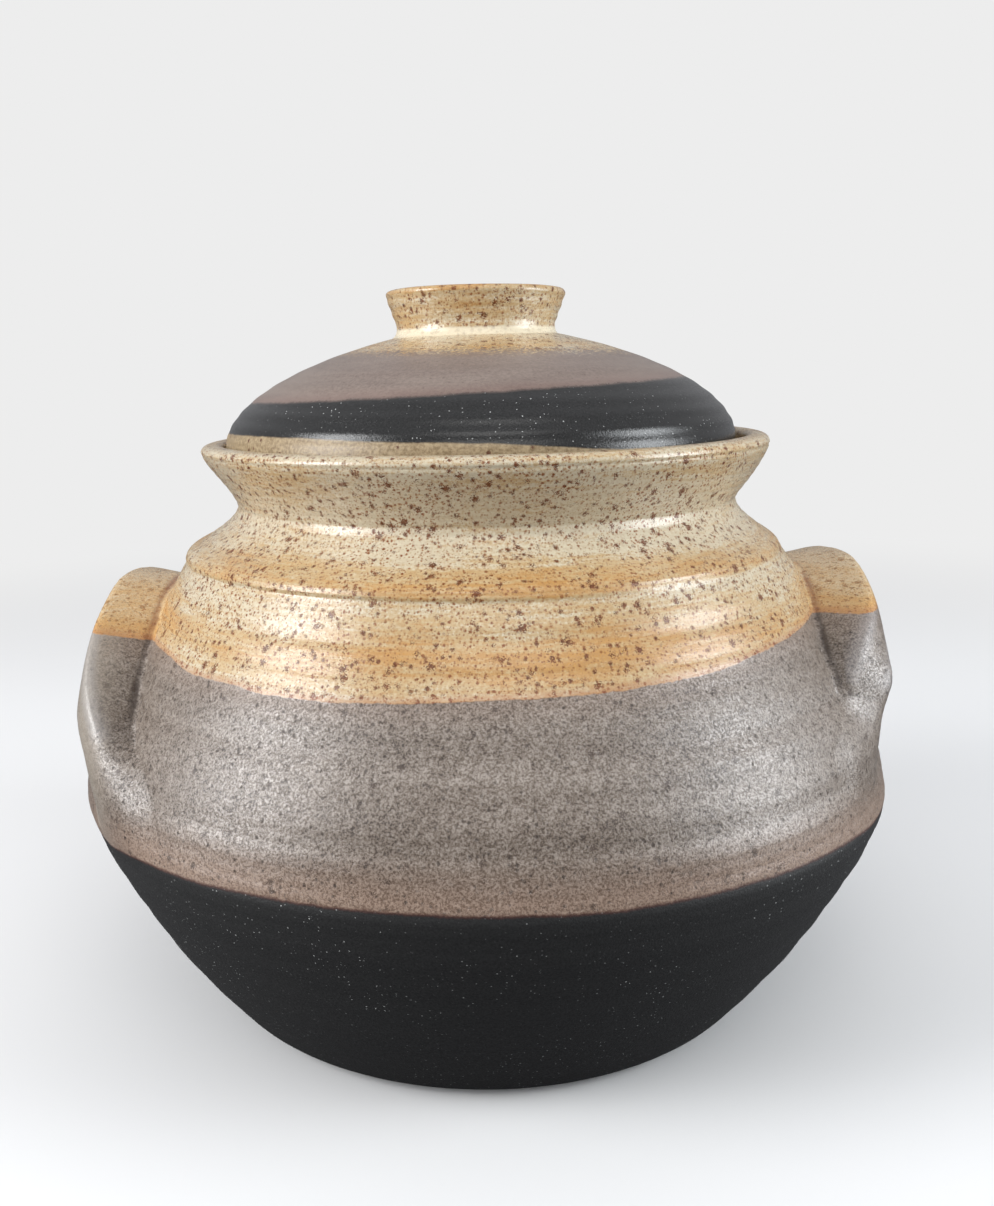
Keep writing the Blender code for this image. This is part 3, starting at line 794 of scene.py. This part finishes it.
class Glaze:
    """A material and short ways to add nodes to it. Its coordinates are the piece's own, in metres."""

    def __init__(self, name):
        self.material = bpy.data.materials.new(name)
        self.material.use_nodes = True
        self.tree = self.material.node_tree
        self.shader = self.tree.nodes["Principled BSDF"]
        self.coordinates = self.add("ShaderNodeTexCoord").outputs["Object"]
        split = self.add("ShaderNodeSeparateXYZ", {"Vector": self.coordinates})
        self.x, self.z = split.outputs["X"], split.outputs["Z"]

    def add(self, kind, inputs=None, **settings):
        return add_node(self.tree, kind, inputs, **settings)

    def shade(self, inputs):
        """Gives the shader its inputs, by name."""
        for name, value in inputs.items():
            plug(self.tree, value, self.shader.inputs[name])

    def math(self, operation, *values, kind="ShaderNodeMath"):
        return self.add(kind, dict(enumerate(values)), operation=operation).outputs[0]

    def vector(self, operation, *values):
        return self.math(operation, *values, kind="ShaderNodeVectorMath")

    def plus(self, first, second):
        return self.math("ADD", first, second)

    def minus(self, first, second):
        return self.math("SUBTRACT", first, second)

    def times(self, first, second):
        return self.math("MULTIPLY", first, second)

    def mix(self, factor, first, second):
        node = self.add("ShaderNodeMix", {0: factor, 6: first, 7: second}, data_type="RGBA")
        return node.outputs[2]

    def range(self, value, low, high, to_low=0.0, to_high=1.0, kind="SMOOTHSTEP"):
        inputs = {0: value, 1: low, 2: high, 3: to_low, 4: to_high}
        return self.add("ShaderNodeMapRange", inputs, interpolation_type=kind).outputs[0]

    def stretched(self, across, up):
        """Coordinates in which a pattern is that many times finer around the pot and up it."""
        return self.vector("MULTIPLY", self.coordinates, (across, across, up))

    def noise(self, size, detail=2.0, roughness=0.5, vector=None, contrast=None):
        """Cloudy noise whose blotches are about size metres, 0 to 1. contrast narrows its range."""
        place = vector or self.coordinates
        inputs = {"Vector": place, "Scale": 1 / size, "Detail": detail, "Roughness": roughness}
        value = self.add("ShaderNodeTexNoise", inputs).outputs[0]
        if contrast:
            value = self.range(value, 0.5 - contrast, 0.5 + contrast)
        return value

    def specks(self, spacing, smallest, largest, share, seed, ragged=0.35, soft=0.12):
        """1 inside specks of iron: one in a share of the cells of that spacing, radii in metres."""
        place = self.coordinates
        wander = self.add("ShaderNodeTexNoise", {"Vector": place, "Scale": 1.6 / smallest, "Detail": 1.0})
        shift = self.vector("SUBTRACT", wander.outputs["Color"], (0.5, 0.5, 0.5))
        bent = self.vector("MULTIPLY_ADD", shift, (ragged * spacing,) * 3, place)
        moved = self.vector("ADD", bent, (seed, seed, seed))
        cells = self.add("ShaderNodeTexVoronoi", {"Vector": moved, "Scale": 1 / spacing})
        draw = self.add("ShaderNodeSeparateColor", {0: cells.outputs["Color"]}).outputs[0]
        low, high = smallest / spacing, largest / spacing
        radius = self.range(draw, 1 - share, 1, low, high, "LINEAR")
        there = self.math("GREATER_THAN", draw, 1 - share)
        inside = self.minus(radius, cells.outputs["Distance"])
        return self.times(self.range(inside, 0, soft * high), there)

    def curve(self, value, low, high, points):
        """A smooth curve through given points, each a place and a height from 0 to 1."""
        share = self.range(value, low, high, kind="LINEAR")
        node = self.add("ShaderNodeFloatCurve", {"Value": share})
        line = node.mapping.curves[0]
        line.points[0].location = points[0]
        line.points[-1].location = points[-1]
        for place in points[1:-1]:
            line.points.new(*place)
        node.mapping.update()
        return node.outputs[0]

    def bump(self, height, depth):
        inputs = {"Height": height, "Distance": depth, "Strength": 1.0}
        return self.add("ShaderNodeBump", inputs).outputs[0]


# Colours, first those of the tan glaze, then the grey, the black and the lid's
CREAM = srgb(216, 206, 180)
TAN = srgb(204, 178, 134)
ORANGE = srgb(200, 150, 84)
FLECK = srgb(160, 126, 90)
FINE_SPECK = srgb(150, 100, 58)
LIGHT_RUST = srgb(138, 82, 42)
RUST = srgb(120, 62, 24)
DARK_RUST = srgb(86, 42, 18)
HANDLE_TAN = srgb(238, 190, 118)
TAN_FRINGE = srgb(168, 104, 74)
# Painted shade, partly pooled glaze: the tan in the handles' creases
TAN_POOL_AND_SHADE = srgb(142, 88, 44)
KNOB_FOOT = srgb(238, 226, 198)
TAUPE = srgb(119, 106, 94)
SILVER = srgb(170, 160, 151)
UMBER = srgb(72, 57, 48)
GREY_DARK = srgb(62, 49, 41)
GREY_DOT = srgb(56, 44, 37)
BROWN_EDGE = srgb(124, 100, 84)
BROWN_EDGE_LIGHT = srgb(182, 155, 136)
HANDLE_GREY = srgb(200, 190, 174)
# Painted shade, partly pooled glaze: the grey in the handles' hollows
GREY_POOL_AND_SHADE = srgb(58, 43, 33)
# Painted highlight, partly thin glaze: the silvery grey on the handles' ridges
GREY_RIDGE_THIN_AND_SHEEN = srgb(180, 180, 184)
RED_LINE = srgb(84, 44, 34)
BLACK = srgb(24, 24, 24)
BLACK_LIGHT = srgb(46, 46, 46)
SPARKLE = srgb(224, 226, 224)
MAUVE = srgb(112, 96, 88)
MAUVE_LIGHT = srgb(146, 131, 121)
MAUVE_RED = srgb(122, 96, 88)
MAUVE_DOT = srgb(92, 70, 60)
OLIVE = srgb(172, 152, 120)
OLIVE_DARK = srgb(130, 110, 80)
CLAY = srgb(96, 76, 62)
BACKDROP = srgb(237, 237, 237)
FLOOR_PALE = srgb(236, 236, 236)
FLOOR_DIM = srgb(104, 104, 106)
SKY = srgb(250, 251, 255)

# Specks: spacing, smallest and largest radius, share of cells, seed, raggedness and softness
FINE_SPECKS = (0.8 * MM, 0.14 * MM, 0.32 * MM, 0.95, 0.013, 0.6)
SMALL_SPECKS = (1.3 * MM, 0.2 * MM, 0.48 * MM, 0.85, 0.117, 0.75)
MIDDLING_SPECKS = (2.0 * MM, 0.3 * MM, 0.7 * MM, 0.66, 0.193, 0.85)
LARGE_SPECKS = (3.6 * MM, 0.55 * MM, 1.2 * MM, 0.58, 0.271, 0.9)
GREY_SPOTS = (3.6 * MM, 0.5 * MM, 1.15 * MM, 0.45, 0.411, 0.75, 0.35)
GREY_DOTS = (1.5 * MM, 0.24 * MM, 0.56 * MM, 0.6, 0.533, 0.75, 0.2)
SPARKLES = (1.15 * MM, 0.09 * MM, 0.25 * MM, 0.7, 0.619, 0.3, 0.5)
MAUVE_DOTS = (1.7 * MM, 0.16 * MM, 0.4 * MM, 0.5, 0.733)
OLIVE_SPECKS = (2.2 * MM, 0.25 * MM, 0.7 * MM, 0.6, 0.829)

# Lines between glazes, from left to right. Each wander is an amount and the size of its waves.
TAN_LINE = {
    "low": 110.4 * MM,
    "rise": 15 * MM,
    "reach": 150 * MM,
    "curve": (
        (0.0, 0.78), (0.11, 0.72), (0.15, 0.62), (0.19, 0.5), (0.21, 0.49), (0.25, 0.38),
        (0.28, 0.4), (0.315, 0.34), (0.38, 0.37), (0.5, 0.46), (0.6, 0.48), (0.68, 0.53),
        (0.74, 0.64), (0.81, 0.78), (0.88, 0.88), (0.92, 0.96), (1.0, 1.0),
    ),
    "wanders": ((0.6 * MM, 14 * MM), (0.35 * MM, 1.6 * MM)),
}
BLACK_LINE = {
    "low": 60.4 * MM,
    "rise": 12 * MM,
    "reach": 130 * MM,
    "curve": (
        (0.0, 0.3), (0.095, 0.55), (0.15, 0.8), (0.23, 0.89), (0.29, 0.95), (0.45, 1.0),
        (0.6, 0.95), (0.75, 0.94), (0.85, 0.88), (0.89, 0.8), (1.0, 0.4),
    ),
    "wanders": ((0.5 * MM, 11 * MM), (0.35 * MM, 1.3 * MM)),
}
OLIVE_LINE = {
    "low": 171 * MM,
    "rise": 6 * MM,
    "reach": 80 * MM,
    "curve": (
        (0.0, 0.85), (0.19, 0.96), (0.34, 0.83), (0.5, 0.74), (0.62, 0.5), (0.75, 0.25), (1.0, 0.1),
    ),
    "wanders": ((0.3 * MM, 6 * MM),),
}

# The lid's straight lines: height in the middle, tilt, amount of wander and the size of its waves
MAUVE_LINE = (198.4 * MM, -0.015, 0.5 * MM, 9 * MM)
LID_BLACK_LINE = (187.5 * MM, 0.037, 0.45 * MM, 8 * MM)

# How orange the tan is, by height: on the pot, whose shoulder is warmest at WARM_MIDDLE, and knob
POOLED_SPAN = (110 * MM, 172 * MM)
POOLED = (
    (0.0, 0.4), (0.11, 0.36), (0.17, 0.5), (0.23, 0.72), (0.29, 0.5), (0.38, 0.3),
    (0.45, 0.14), (0.485, 0.62), (0.53, 0.52), (0.58, 0.3), (0.66, 0.04), (0.76, 0.06),
    (0.9, 0.18), (0.97, 0.2), (1.0, 0.22),
)
# Partly painted light: the shoulder is more orange towards WARM_MIDDLE and paler to the sides, the pale
# sides standing in partly for sheen, partly the glaze's own tone
WARM_MIDDLE = 20 * MM
KNOB_SPAN = (203 * MM, 218 * MM)
KNOB_POOLED = (
    (0.0, 0.0), (0.13, 0.0), (0.2, 0.4), (0.5, 0.45), (0.8, 0.5), (0.95, 0.8), (1.0, 0.6),
)

# The floor is a hair under the foot
FLOOR_SIZE = 12
FLOOR_DROP = 0.2 * MM

# The photograph's view, from the fit of the pot's outline. The degrees are pitch, yaw and roll.
PHOTO_HEIGHT = 1206
FOCAL_PIXELS = 1160
SHIFT_PIXELS = 46.45
SENSOR_MM = 36
CAMERA_PLACE = (0, -0.3677, 0.19425)
CAMERA_DEGREES = (11.508, -1.563, 1.404)

# Windows: name, place, width, height, watts and colour
POT_MIDDLE = (0, 0, 0.11)
WINDOWS = (
    ("left_window", (-0.97, -0.42, 0.5), 0.5, 0.8, 13.5, (0.98, 0.99, 1.0)),
    ("right_window", (1.0, -0.26, 0.36), 0.5, 0.75, 10.5, (0.93, 0.97, 1.0)),
    ("front_top", (0.1, -1.0, 1.4), 1.0, 0.7, 4, (1.0, 0.99, 0.97)),
)


def tan_glaze(g, orange):
    """Cream to orange tan with streaks round the pot and iron specks.

    A glaze is its colour, gloss, height and coat.
    """
    streaks = g.noise(2.2 * MM, 4.0, 0.65, g.stretched(0.05, 1.0), 0.28)
    clouds = g.noise(20 * MM, 3.0, 0.55, g.stretched(0.6, 1.0), 0.22)
    grain = g.noise(0.8 * MM, 3.0, 0.7, None, 0.17)
    threads = g.noise(0.8 * MM, 3.0, 0.6, g.stretched(0.07, 1.0), 0.18)
    warm = orange
    for pattern, strength in ((streaks, 0.42), (threads, 0.3), (clouds, 0.4), (grain, 0.4)):
        warm = g.plus(warm, g.times(g.minus(pattern, 0.5), strength))
    pale = g.mix(g.range(warm, 0.0, 0.6), CREAM, TAN)
    colour = g.mix(g.range(warm, 0.5, 1.1), pale, ORANGE)
    colour = g.mix(g.times(grain, 0.42), colour, FLECK)
    crowd = g.noise(24 * MM, 1.0, 0.5, None, 0.18)
    fine = g.specks(*FINE_SPECKS)
    small = g.specks(*SMALL_SPECKS)
    middling = g.specks(*MIDDLING_SPECKS)
    large = g.specks(*LARGE_SPECKS)
    fine = g.times(fine, g.range(crowd, 0, 1, 0.6, 0.95))
    small = g.times(small, g.range(crowd, 0, 1, 0.75, 1.0))
    bold = g.math("MAXIMUM", large, middling)
    colour = g.mix(fine, colour, FINE_SPECK)
    colour = g.mix(small, colour, g.mix(grain, RUST, LIGHT_RUST))
    colour = g.mix(g.times(bold, 0.94), colour, g.mix(grain, DARK_RUST, RUST))
    gloss = g.range(grain, 0, 1, 0.24, 0.34)
    height = g.plus(g.times(streaks, 0.55), g.times(grain, 0.25))
    height = g.minus(height, g.times(bold, 0.5))
    coat = g.minus(0.3, g.times(g.math("MAXIMUM", bold, small), 0.24))
    return colour, gloss, height, coat


def grey_glaze(g, brown):
    """Taupe and silver grain with soft dark spots, browner where brown is near 1."""
    grain = g.noise(0.6 * MM, 4.0, 0.75, None, 0.15)
    coarse = g.noise(2.2 * MM, 3.0, 0.65, None, 0.18)
    bands = g.noise(5.5 * MM, 2.0, 0.5, g.stretched(0.06, 1.0), 0.22)
    clouds = g.noise(35 * MM, 2.0, 0.5, None, 0.2)
    light = g.plus(g.times(grain, 0.66), g.times(coarse, 0.2))
    light = g.plus(light, g.times(bands, 0.1))
    light = g.plus(light, g.times(clouds, 0.12))
    colour = g.mix(g.range(light, 0.08, 0.56), GREY_DARK, TAUPE)
    colour = g.mix(g.range(light, 0.46, 1.08), colour, SILVER)
    tinge = g.mix(grain, BROWN_EDGE, BROWN_EDGE_LIGHT)
    colour = g.mix(g.times(brown, 0.7), colour, tinge)
    spots = g.specks(*GREY_SPOTS)
    dots = g.specks(*GREY_DOTS)
    dots = g.times(dots, g.range(coarse, 0, 1, 1.0, 0.5))
    colour = g.mix(g.times(spots, 0.8), colour, UMBER)
    colour = g.mix(g.times(dots, 0.85), colour, GREY_DOT)
    gloss = g.range(grain, 0, 1, 0.42, 0.26)
    height = g.plus(g.times(grain, 0.4), g.times(coarse, 0.3))
    height = g.minus(height, g.times(dots, 0.6))
    dull = g.math("MAXIMUM", dots, g.times(spots, 0.7))
    coat = g.times(g.range(grain, 0, 1, 0.2, 0.62), g.range(dull, 0, 1, 1.0, 0.1))
    return colour, gloss, height, coat


def black_glaze(g, rough_low, rough_high):
    """Black with a fine grain and scattered pale sparkles."""
    grain = g.noise(0.6 * MM, 3.0, 0.65, None, 0.22)
    crowd = g.noise(26 * MM, 1.0, 0.5, None, 0.14)
    colour = g.mix(g.times(grain, 0.8), BLACK, BLACK_LIGHT)
    sparkle = g.specks(*SPARKLES)
    colour = g.mix(g.times(sparkle, g.range(crowd, 0, 1, 0.15, 0.7)), colour, SPARKLE)
    gloss = g.range(grain, 0, 1, rough_high, rough_low)
    return colour, gloss, g.times(grain, 0.6), 0.0


def layered(g, share, under, over):
    """One glaze where share is 0 and another over it where it is 1."""
    colour = g.mix(share, under[0], over[0])
    rest = []
    for low, high in zip(under[1:], over[1:]):
        rest.append(g.plus(low, g.times(share, g.minus(high, low))))
    return colour, *rest


def finish_glaze(g, layers, depth):
    """Plugs colour, gloss, height and coat into the shader."""
    colour, gloss, height, coat = layers
    normal = g.bump(height, depth)
    g.shade({"Base Color": colour, "Roughness": gloss, "Normal": normal, "IOR": 1.5})
    g.shade({"Coat Weight": coat, "Coat Normal": normal, "Coat Roughness": 0.24})
    return g.material


def wavering(g, line, amount, size):
    """A height line that strays by that amount over stretches of that size."""
    stray = g.minus(g.noise(size, 3.0, 0.6), 0.5)
    return g.plus(line, g.times(stray, 2 * amount))


def glaze_line(g, low, rise, reach, curve, wanders):
    """Height of the line between two glazes: a curve from left to right, and how it strays."""
    line = g.plus(g.times(g.curve(g.x, -reach, reach, curve), rise), low)
    for amount, size in wanders:
        line = wavering(g, line, amount, size)
    return line


def tilted_line(g, height, tilt, amount, size):
    return wavering(g, g.plus(g.times(g.x, tilt), height), amount, size)


def pot_glaze(name, on_handle=False):
    """Tan above, grey in the middle and black below. The lines dip and rise round the pot."""
    g = Glaze(name)
    tan_line = glaze_line(g, **TAN_LINE)
    black_line = glaze_line(g, **BLACK_LINE)
    above_tan = g.minus(g.z, tan_line)
    above_black = g.minus(g.z, black_line)
    fold = g.add("ShaderNodeAttribute", attribute_name="fold").outputs["Fac"]
    # hollow: painted shade in the handles' creases and hollows, partly pooled glaze
    hollow = g.range(fold, 0.1, 0.38)
    # ridge: painted silvery highlight on the handles' ridges, partly glaze breaking thin there
    ridge = g.range(fold, -0.04, -0.4)
    if on_handle:
        pooled = g.range(above_tan, 6 * MM, 0.5 * MM, 0.3, 1.0)
        pooled = g.minus(pooled, g.range(g.z, 128 * MM, 134 * MM, 0.0, 0.25))
    else:
        pooled = g.curve(g.z, *POOLED_SPAN, POOLED)
        # Partly painted light: more orange towards the middle, paler sides as if in sheen, partly the
        # glaze's own tone
        aside = g.math("ABSOLUTE", g.minus(g.x, WARM_MIDDLE))
        warmer = g.range(aside, 80 * MM, 5 * MM, 0.02, 0.24)
        warmer = g.times(warmer, g.range(g.z, 148 * MM, 141 * MM))
        pooled = g.plus(pooled, warmer)
    colour, *rest = tan_glaze(g, pooled)
    if on_handle:
        colour = g.mix(0.3, colour, HANDLE_TAN)
    fringe = g.times(g.range(above_tan, 2.2 * MM, 0.0), 0.4)
    colour = g.mix(fringe, colour, TAN_FRINGE)
    # Painted shade, partly pooled glaze, darkens the tan in the handles' creases
    colour = g.mix(g.times(hollow, 0.8), colour, TAN_POOL_AND_SHADE)
    tan = (colour, *rest)
    under_tan = g.times(g.range(above_tan, -7 * MM, -0.3 * MM), 0.3)
    edge_brown = g.plus(g.range(above_black, 15 * MM, 0.5 * MM), under_tan)
    colour, *rest = grey_glaze(g, edge_brown)
    if on_handle:
        colour = g.mix(g.range(g.x, -98 * MM, -112 * MM, 0.0, 0.4), colour, HANDLE_GREY)
    # Painted shade, partly pooled glaze, darkens the grey in the handles' hollows
    colour = g.mix(g.times(hollow, 0.88), colour, GREY_POOL_AND_SHADE)
    # Painted highlight, partly glaze breaking thin, lightens the handles' ridges
    colour = g.mix(g.times(ridge, 0.25), colour, GREY_RIDGE_THIN_AND_SHEEN)
    grey = (colour, *rest)
    black = black_glaze(g, 0.5, 0.62)
    layers = layered(g, g.range(above_black, -0.25 * MM, 0.35 * MM), black, grey)
    layers = layered(g, g.range(above_tan, -0.2 * MM, 0.2 * MM), layers, tan)
    colour, gloss, height, coat = layers
    line = g.times(g.range(g.math("ABSOLUTE", above_black), 0.7 * MM, 0.1 * MM), 0.5)
    colour = g.mix(line, colour, RED_LINE)
    step = g.times(g.range(above_tan, -0.3 * MM, 0.3 * MM), 0.8)
    under_foot = g.range(g.z, 0.6 * MM, 0.3 * MM)
    colour = g.mix(under_foot, colour, CLAY)
    return finish_glaze(g, (colour, gloss, g.plus(height, step), coat), 0.07 * MM)


def lid_glaze():
    """Tan round the knob, mauve grey, black, and olive tan at the edge. The lines are tilted."""
    g = Glaze("lid_glazes")
    mauve_top = tilted_line(g, *MAUVE_LINE)
    black_top = tilted_line(g, *LID_BLACK_LINE)
    olive_top = glaze_line(g, **OLIVE_LINE)
    tan = tan_glaze(g, g.range(g.z, 206 * MM, 199 * MM, 0.0, 0.5))
    grain = g.noise(0.9 * MM, 3.0, 0.65, None, 0.18)
    streaks = g.noise(3 * MM, 3.0, 0.6, g.stretched(0.08, 1.0), 0.2)
    blend = g.plus(g.times(grain, 0.6), g.times(streaks, 0.4))
    mauve_colour = g.mix(blend, MAUVE, MAUVE_LIGHT)
    reddish = g.range(g.minus(g.z, black_top), 3.5 * MM, 0.0)
    mauve_colour = g.mix(g.times(reddish, 0.5), mauve_colour, MAUVE_RED)
    dots = g.specks(*MAUVE_DOTS)
    mauve_colour = g.mix(g.times(dots, 0.5), mauve_colour, MAUVE_DOT)
    mauve = (mauve_colour, g.range(grain, 0, 1, 0.3, 0.38), g.times(grain, 0.5), 0.1)
    olive_colour = g.mix(grain, OLIVE_DARK, OLIVE)
    specks = g.specks(*OLIVE_SPECKS)
    olive_colour = g.mix(g.times(specks, 0.9), olive_colour, DARK_RUST)
    olive = (olive_colour, g.range(grain, 0, 1, 0.34, 0.42), g.times(grain, 0.5), 0.0)
    black = black_glaze(g, 0.13, 0.22)
    layers = layered(g, g.range(g.minus(g.z, olive_top), -0.3 * MM, 0.3 * MM), olive, black)
    layers = layered(g, g.range(g.minus(g.z, black_top), -0.5 * MM, 0.6 * MM), layers, mauve)
    dissolve = g.times(g.minus(grain, 0.5), 2.4 * MM)
    above_mauve = g.plus(g.minus(g.z, mauve_top), dissolve)
    layers = layered(g, g.range(above_mauve, -1.0 * MM, 1.2 * MM), layers, tan)
    return finish_glaze(g, layers, 0.05 * MM)


def knob_glaze():
    """Tan, more orange towards the top, with a pale line where the knob meets the lid."""
    g = Glaze("knob_glaze")
    orange = g.curve(g.z, *KNOB_SPAN, KNOB_POOLED)
    colour, *rest = tan_glaze(g, orange)
    pale = g.range(g.z, 205.8 * MM, 205.0 * MM)
    colour = g.mix(g.times(pale, 0.75), colour, KNOB_FOOT)
    return finish_glaze(g, (colour, *rest), 0.07 * MM)


def floor_paint():
    """Pale to the camera, with the object's shadow, and the backdrop's colour further out."""
    g = Glaze("floor_paint")
    g.shade({"Base Color": FLOOR_PALE, "Roughness": 0.8, "Specular IOR Level": 0.0})
    dim = g.add("ShaderNodeBsdfDiffuse", {"Color": FLOOR_DIM})
    backdrop = g.add("ShaderNodeEmission", {"Color": BACKDROP, "Strength": 1.0})
    distance = g.add("ShaderNodeVectorMath", {0: g.coordinates}, operation="LENGTH").outputs["Value"]
    far = g.range(distance, 0.3, 1.0)
    pale = g.add("ShaderNodeMixShader", {0: far, 1: g.shader.outputs[0], 2: backdrop.outputs[0]})
    seen = g.add("ShaderNodeLightPath").outputs["Is Camera Ray"]
    both = g.add("ShaderNodeMixShader", {0: seen, 1: dim.outputs[0], 2: pale.outputs[0]})
    plug(g.tree, both.outputs[0], g.tree.nodes["Material Output"].inputs["Surface"])
    return g.material


# Stage, lights and camera


def add_floor():
    bpy.ops.mesh.primitive_plane_add(size=FLOOR_SIZE, location=(0, 0, -FLOOR_DROP))
    floor = bpy.context.object
    floor.name = "floor"
    floor.data.materials.append(floor_paint())


def add_world():
    """Soft light, stronger from above than from the sides, and a pale background for the camera."""
    world = bpy.data.worlds.new("studio")
    world.use_nodes = True
    tree = world.node_tree
    tree.nodes.clear()
    direction = add_node(tree, "ShaderNodeTexCoord").outputs["Generated"]
    height = add_node(tree, "ShaderNodeSeparateXYZ", {0: direction}).outputs["Z"]
    spread = {"Value": height, "From Min": 0.0, "From Max": 0.9, "To Min": 0.3, "To Max": 0.6}
    strength = add_node(tree, "ShaderNodeMapRange", spread).outputs[0]
    light = add_node(tree, "ShaderNodeBackground", {"Color": SKY, "Strength": strength})
    seen = add_node(tree, "ShaderNodeBackground", {"Color": BACKDROP, "Strength": 1.0})
    to_camera = add_node(tree, "ShaderNodeLightPath").outputs["Is Camera Ray"]
    inputs = {0: to_camera, 1: light.outputs[0], 2: seen.outputs[0]}
    choose = add_node(tree, "ShaderNodeMixShader", inputs)
    add_node(tree, "ShaderNodeOutputWorld", {0: choose.outputs[0]})
    bpy.context.scene.world = world


def add_window(name, place, width, height, watts, colour):
    """A tall soft light, as a window would be."""
    data = bpy.data.lights.new(name, "AREA")
    data.shape = "RECTANGLE"
    data.size, data.size_y = width, height
    data.energy = watts
    data.color = colour
    lamp = add_object(name, data)
    lamp.location = place
    lamp.rotation_euler = (Vector(POT_MIDDLE) - Vector(place)).to_track_quat("-Z", "Y").to_euler()


def add_camera():
    pitch, yaw, roll = map(math.radians, CAMERA_DEGREES)
    forward = Vector((math.sin(yaw) * math.cos(pitch), math.cos(yaw) * math.cos(pitch), -math.sin(pitch)))
    right = Vector((math.cos(yaw), -math.sin(yaw), 0.0))
    down = forward.cross(right)
    across = math.cos(roll) * right + math.sin(roll) * down
    below = -math.sin(roll) * right + math.cos(roll) * down
    pose = Matrix((across, -below, -forward)).transposed().to_4x4()
    pose.translation = Vector(CAMERA_PLACE)
    data = bpy.data.cameras.new("camera")
    data.sensor_fit = "VERTICAL"
    data.sensor_height = SENSOR_MM
    data.lens = SENSOR_MM * FOCAL_PIXELS / PHOTO_HEIGHT
    data.shift_x = SHIFT_PIXELS / PHOTO_HEIGHT
    data.clip_start = 0.01
    camera = add_object("camera", data)
    camera.matrix_world = pose
    bpy.context.scene.camera = camera


def dress(piece, body, node, material):
    """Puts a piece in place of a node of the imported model."""
    piece.data.materials.append(material)
    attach(piece, body)
    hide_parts(node)


def main():
    bpy.context.scene.view_settings.view_transform = "Standard"
    add_camera()
    add_floor()
    add_world()
    for window in WINDOWS:
        add_window(*window)
    dress(make_pot(), "pot", "pot_body", pot_glaze("pot_glazes"))
    handles = pot_glaze("handle_glazes", True)
    dress(make_handle("left_lug", LEFT_STRAP, -1), "pot", "left_handle", handles)
    dress(make_handle("right_lug", RIGHT_STRAP, 1), "pot", "right_handle", handles)
    dress(make_lid(), "lid", "lid", lid_glaze())
    dress(make_knob(), "lid", "lid_knob", knob_glaze())


main()
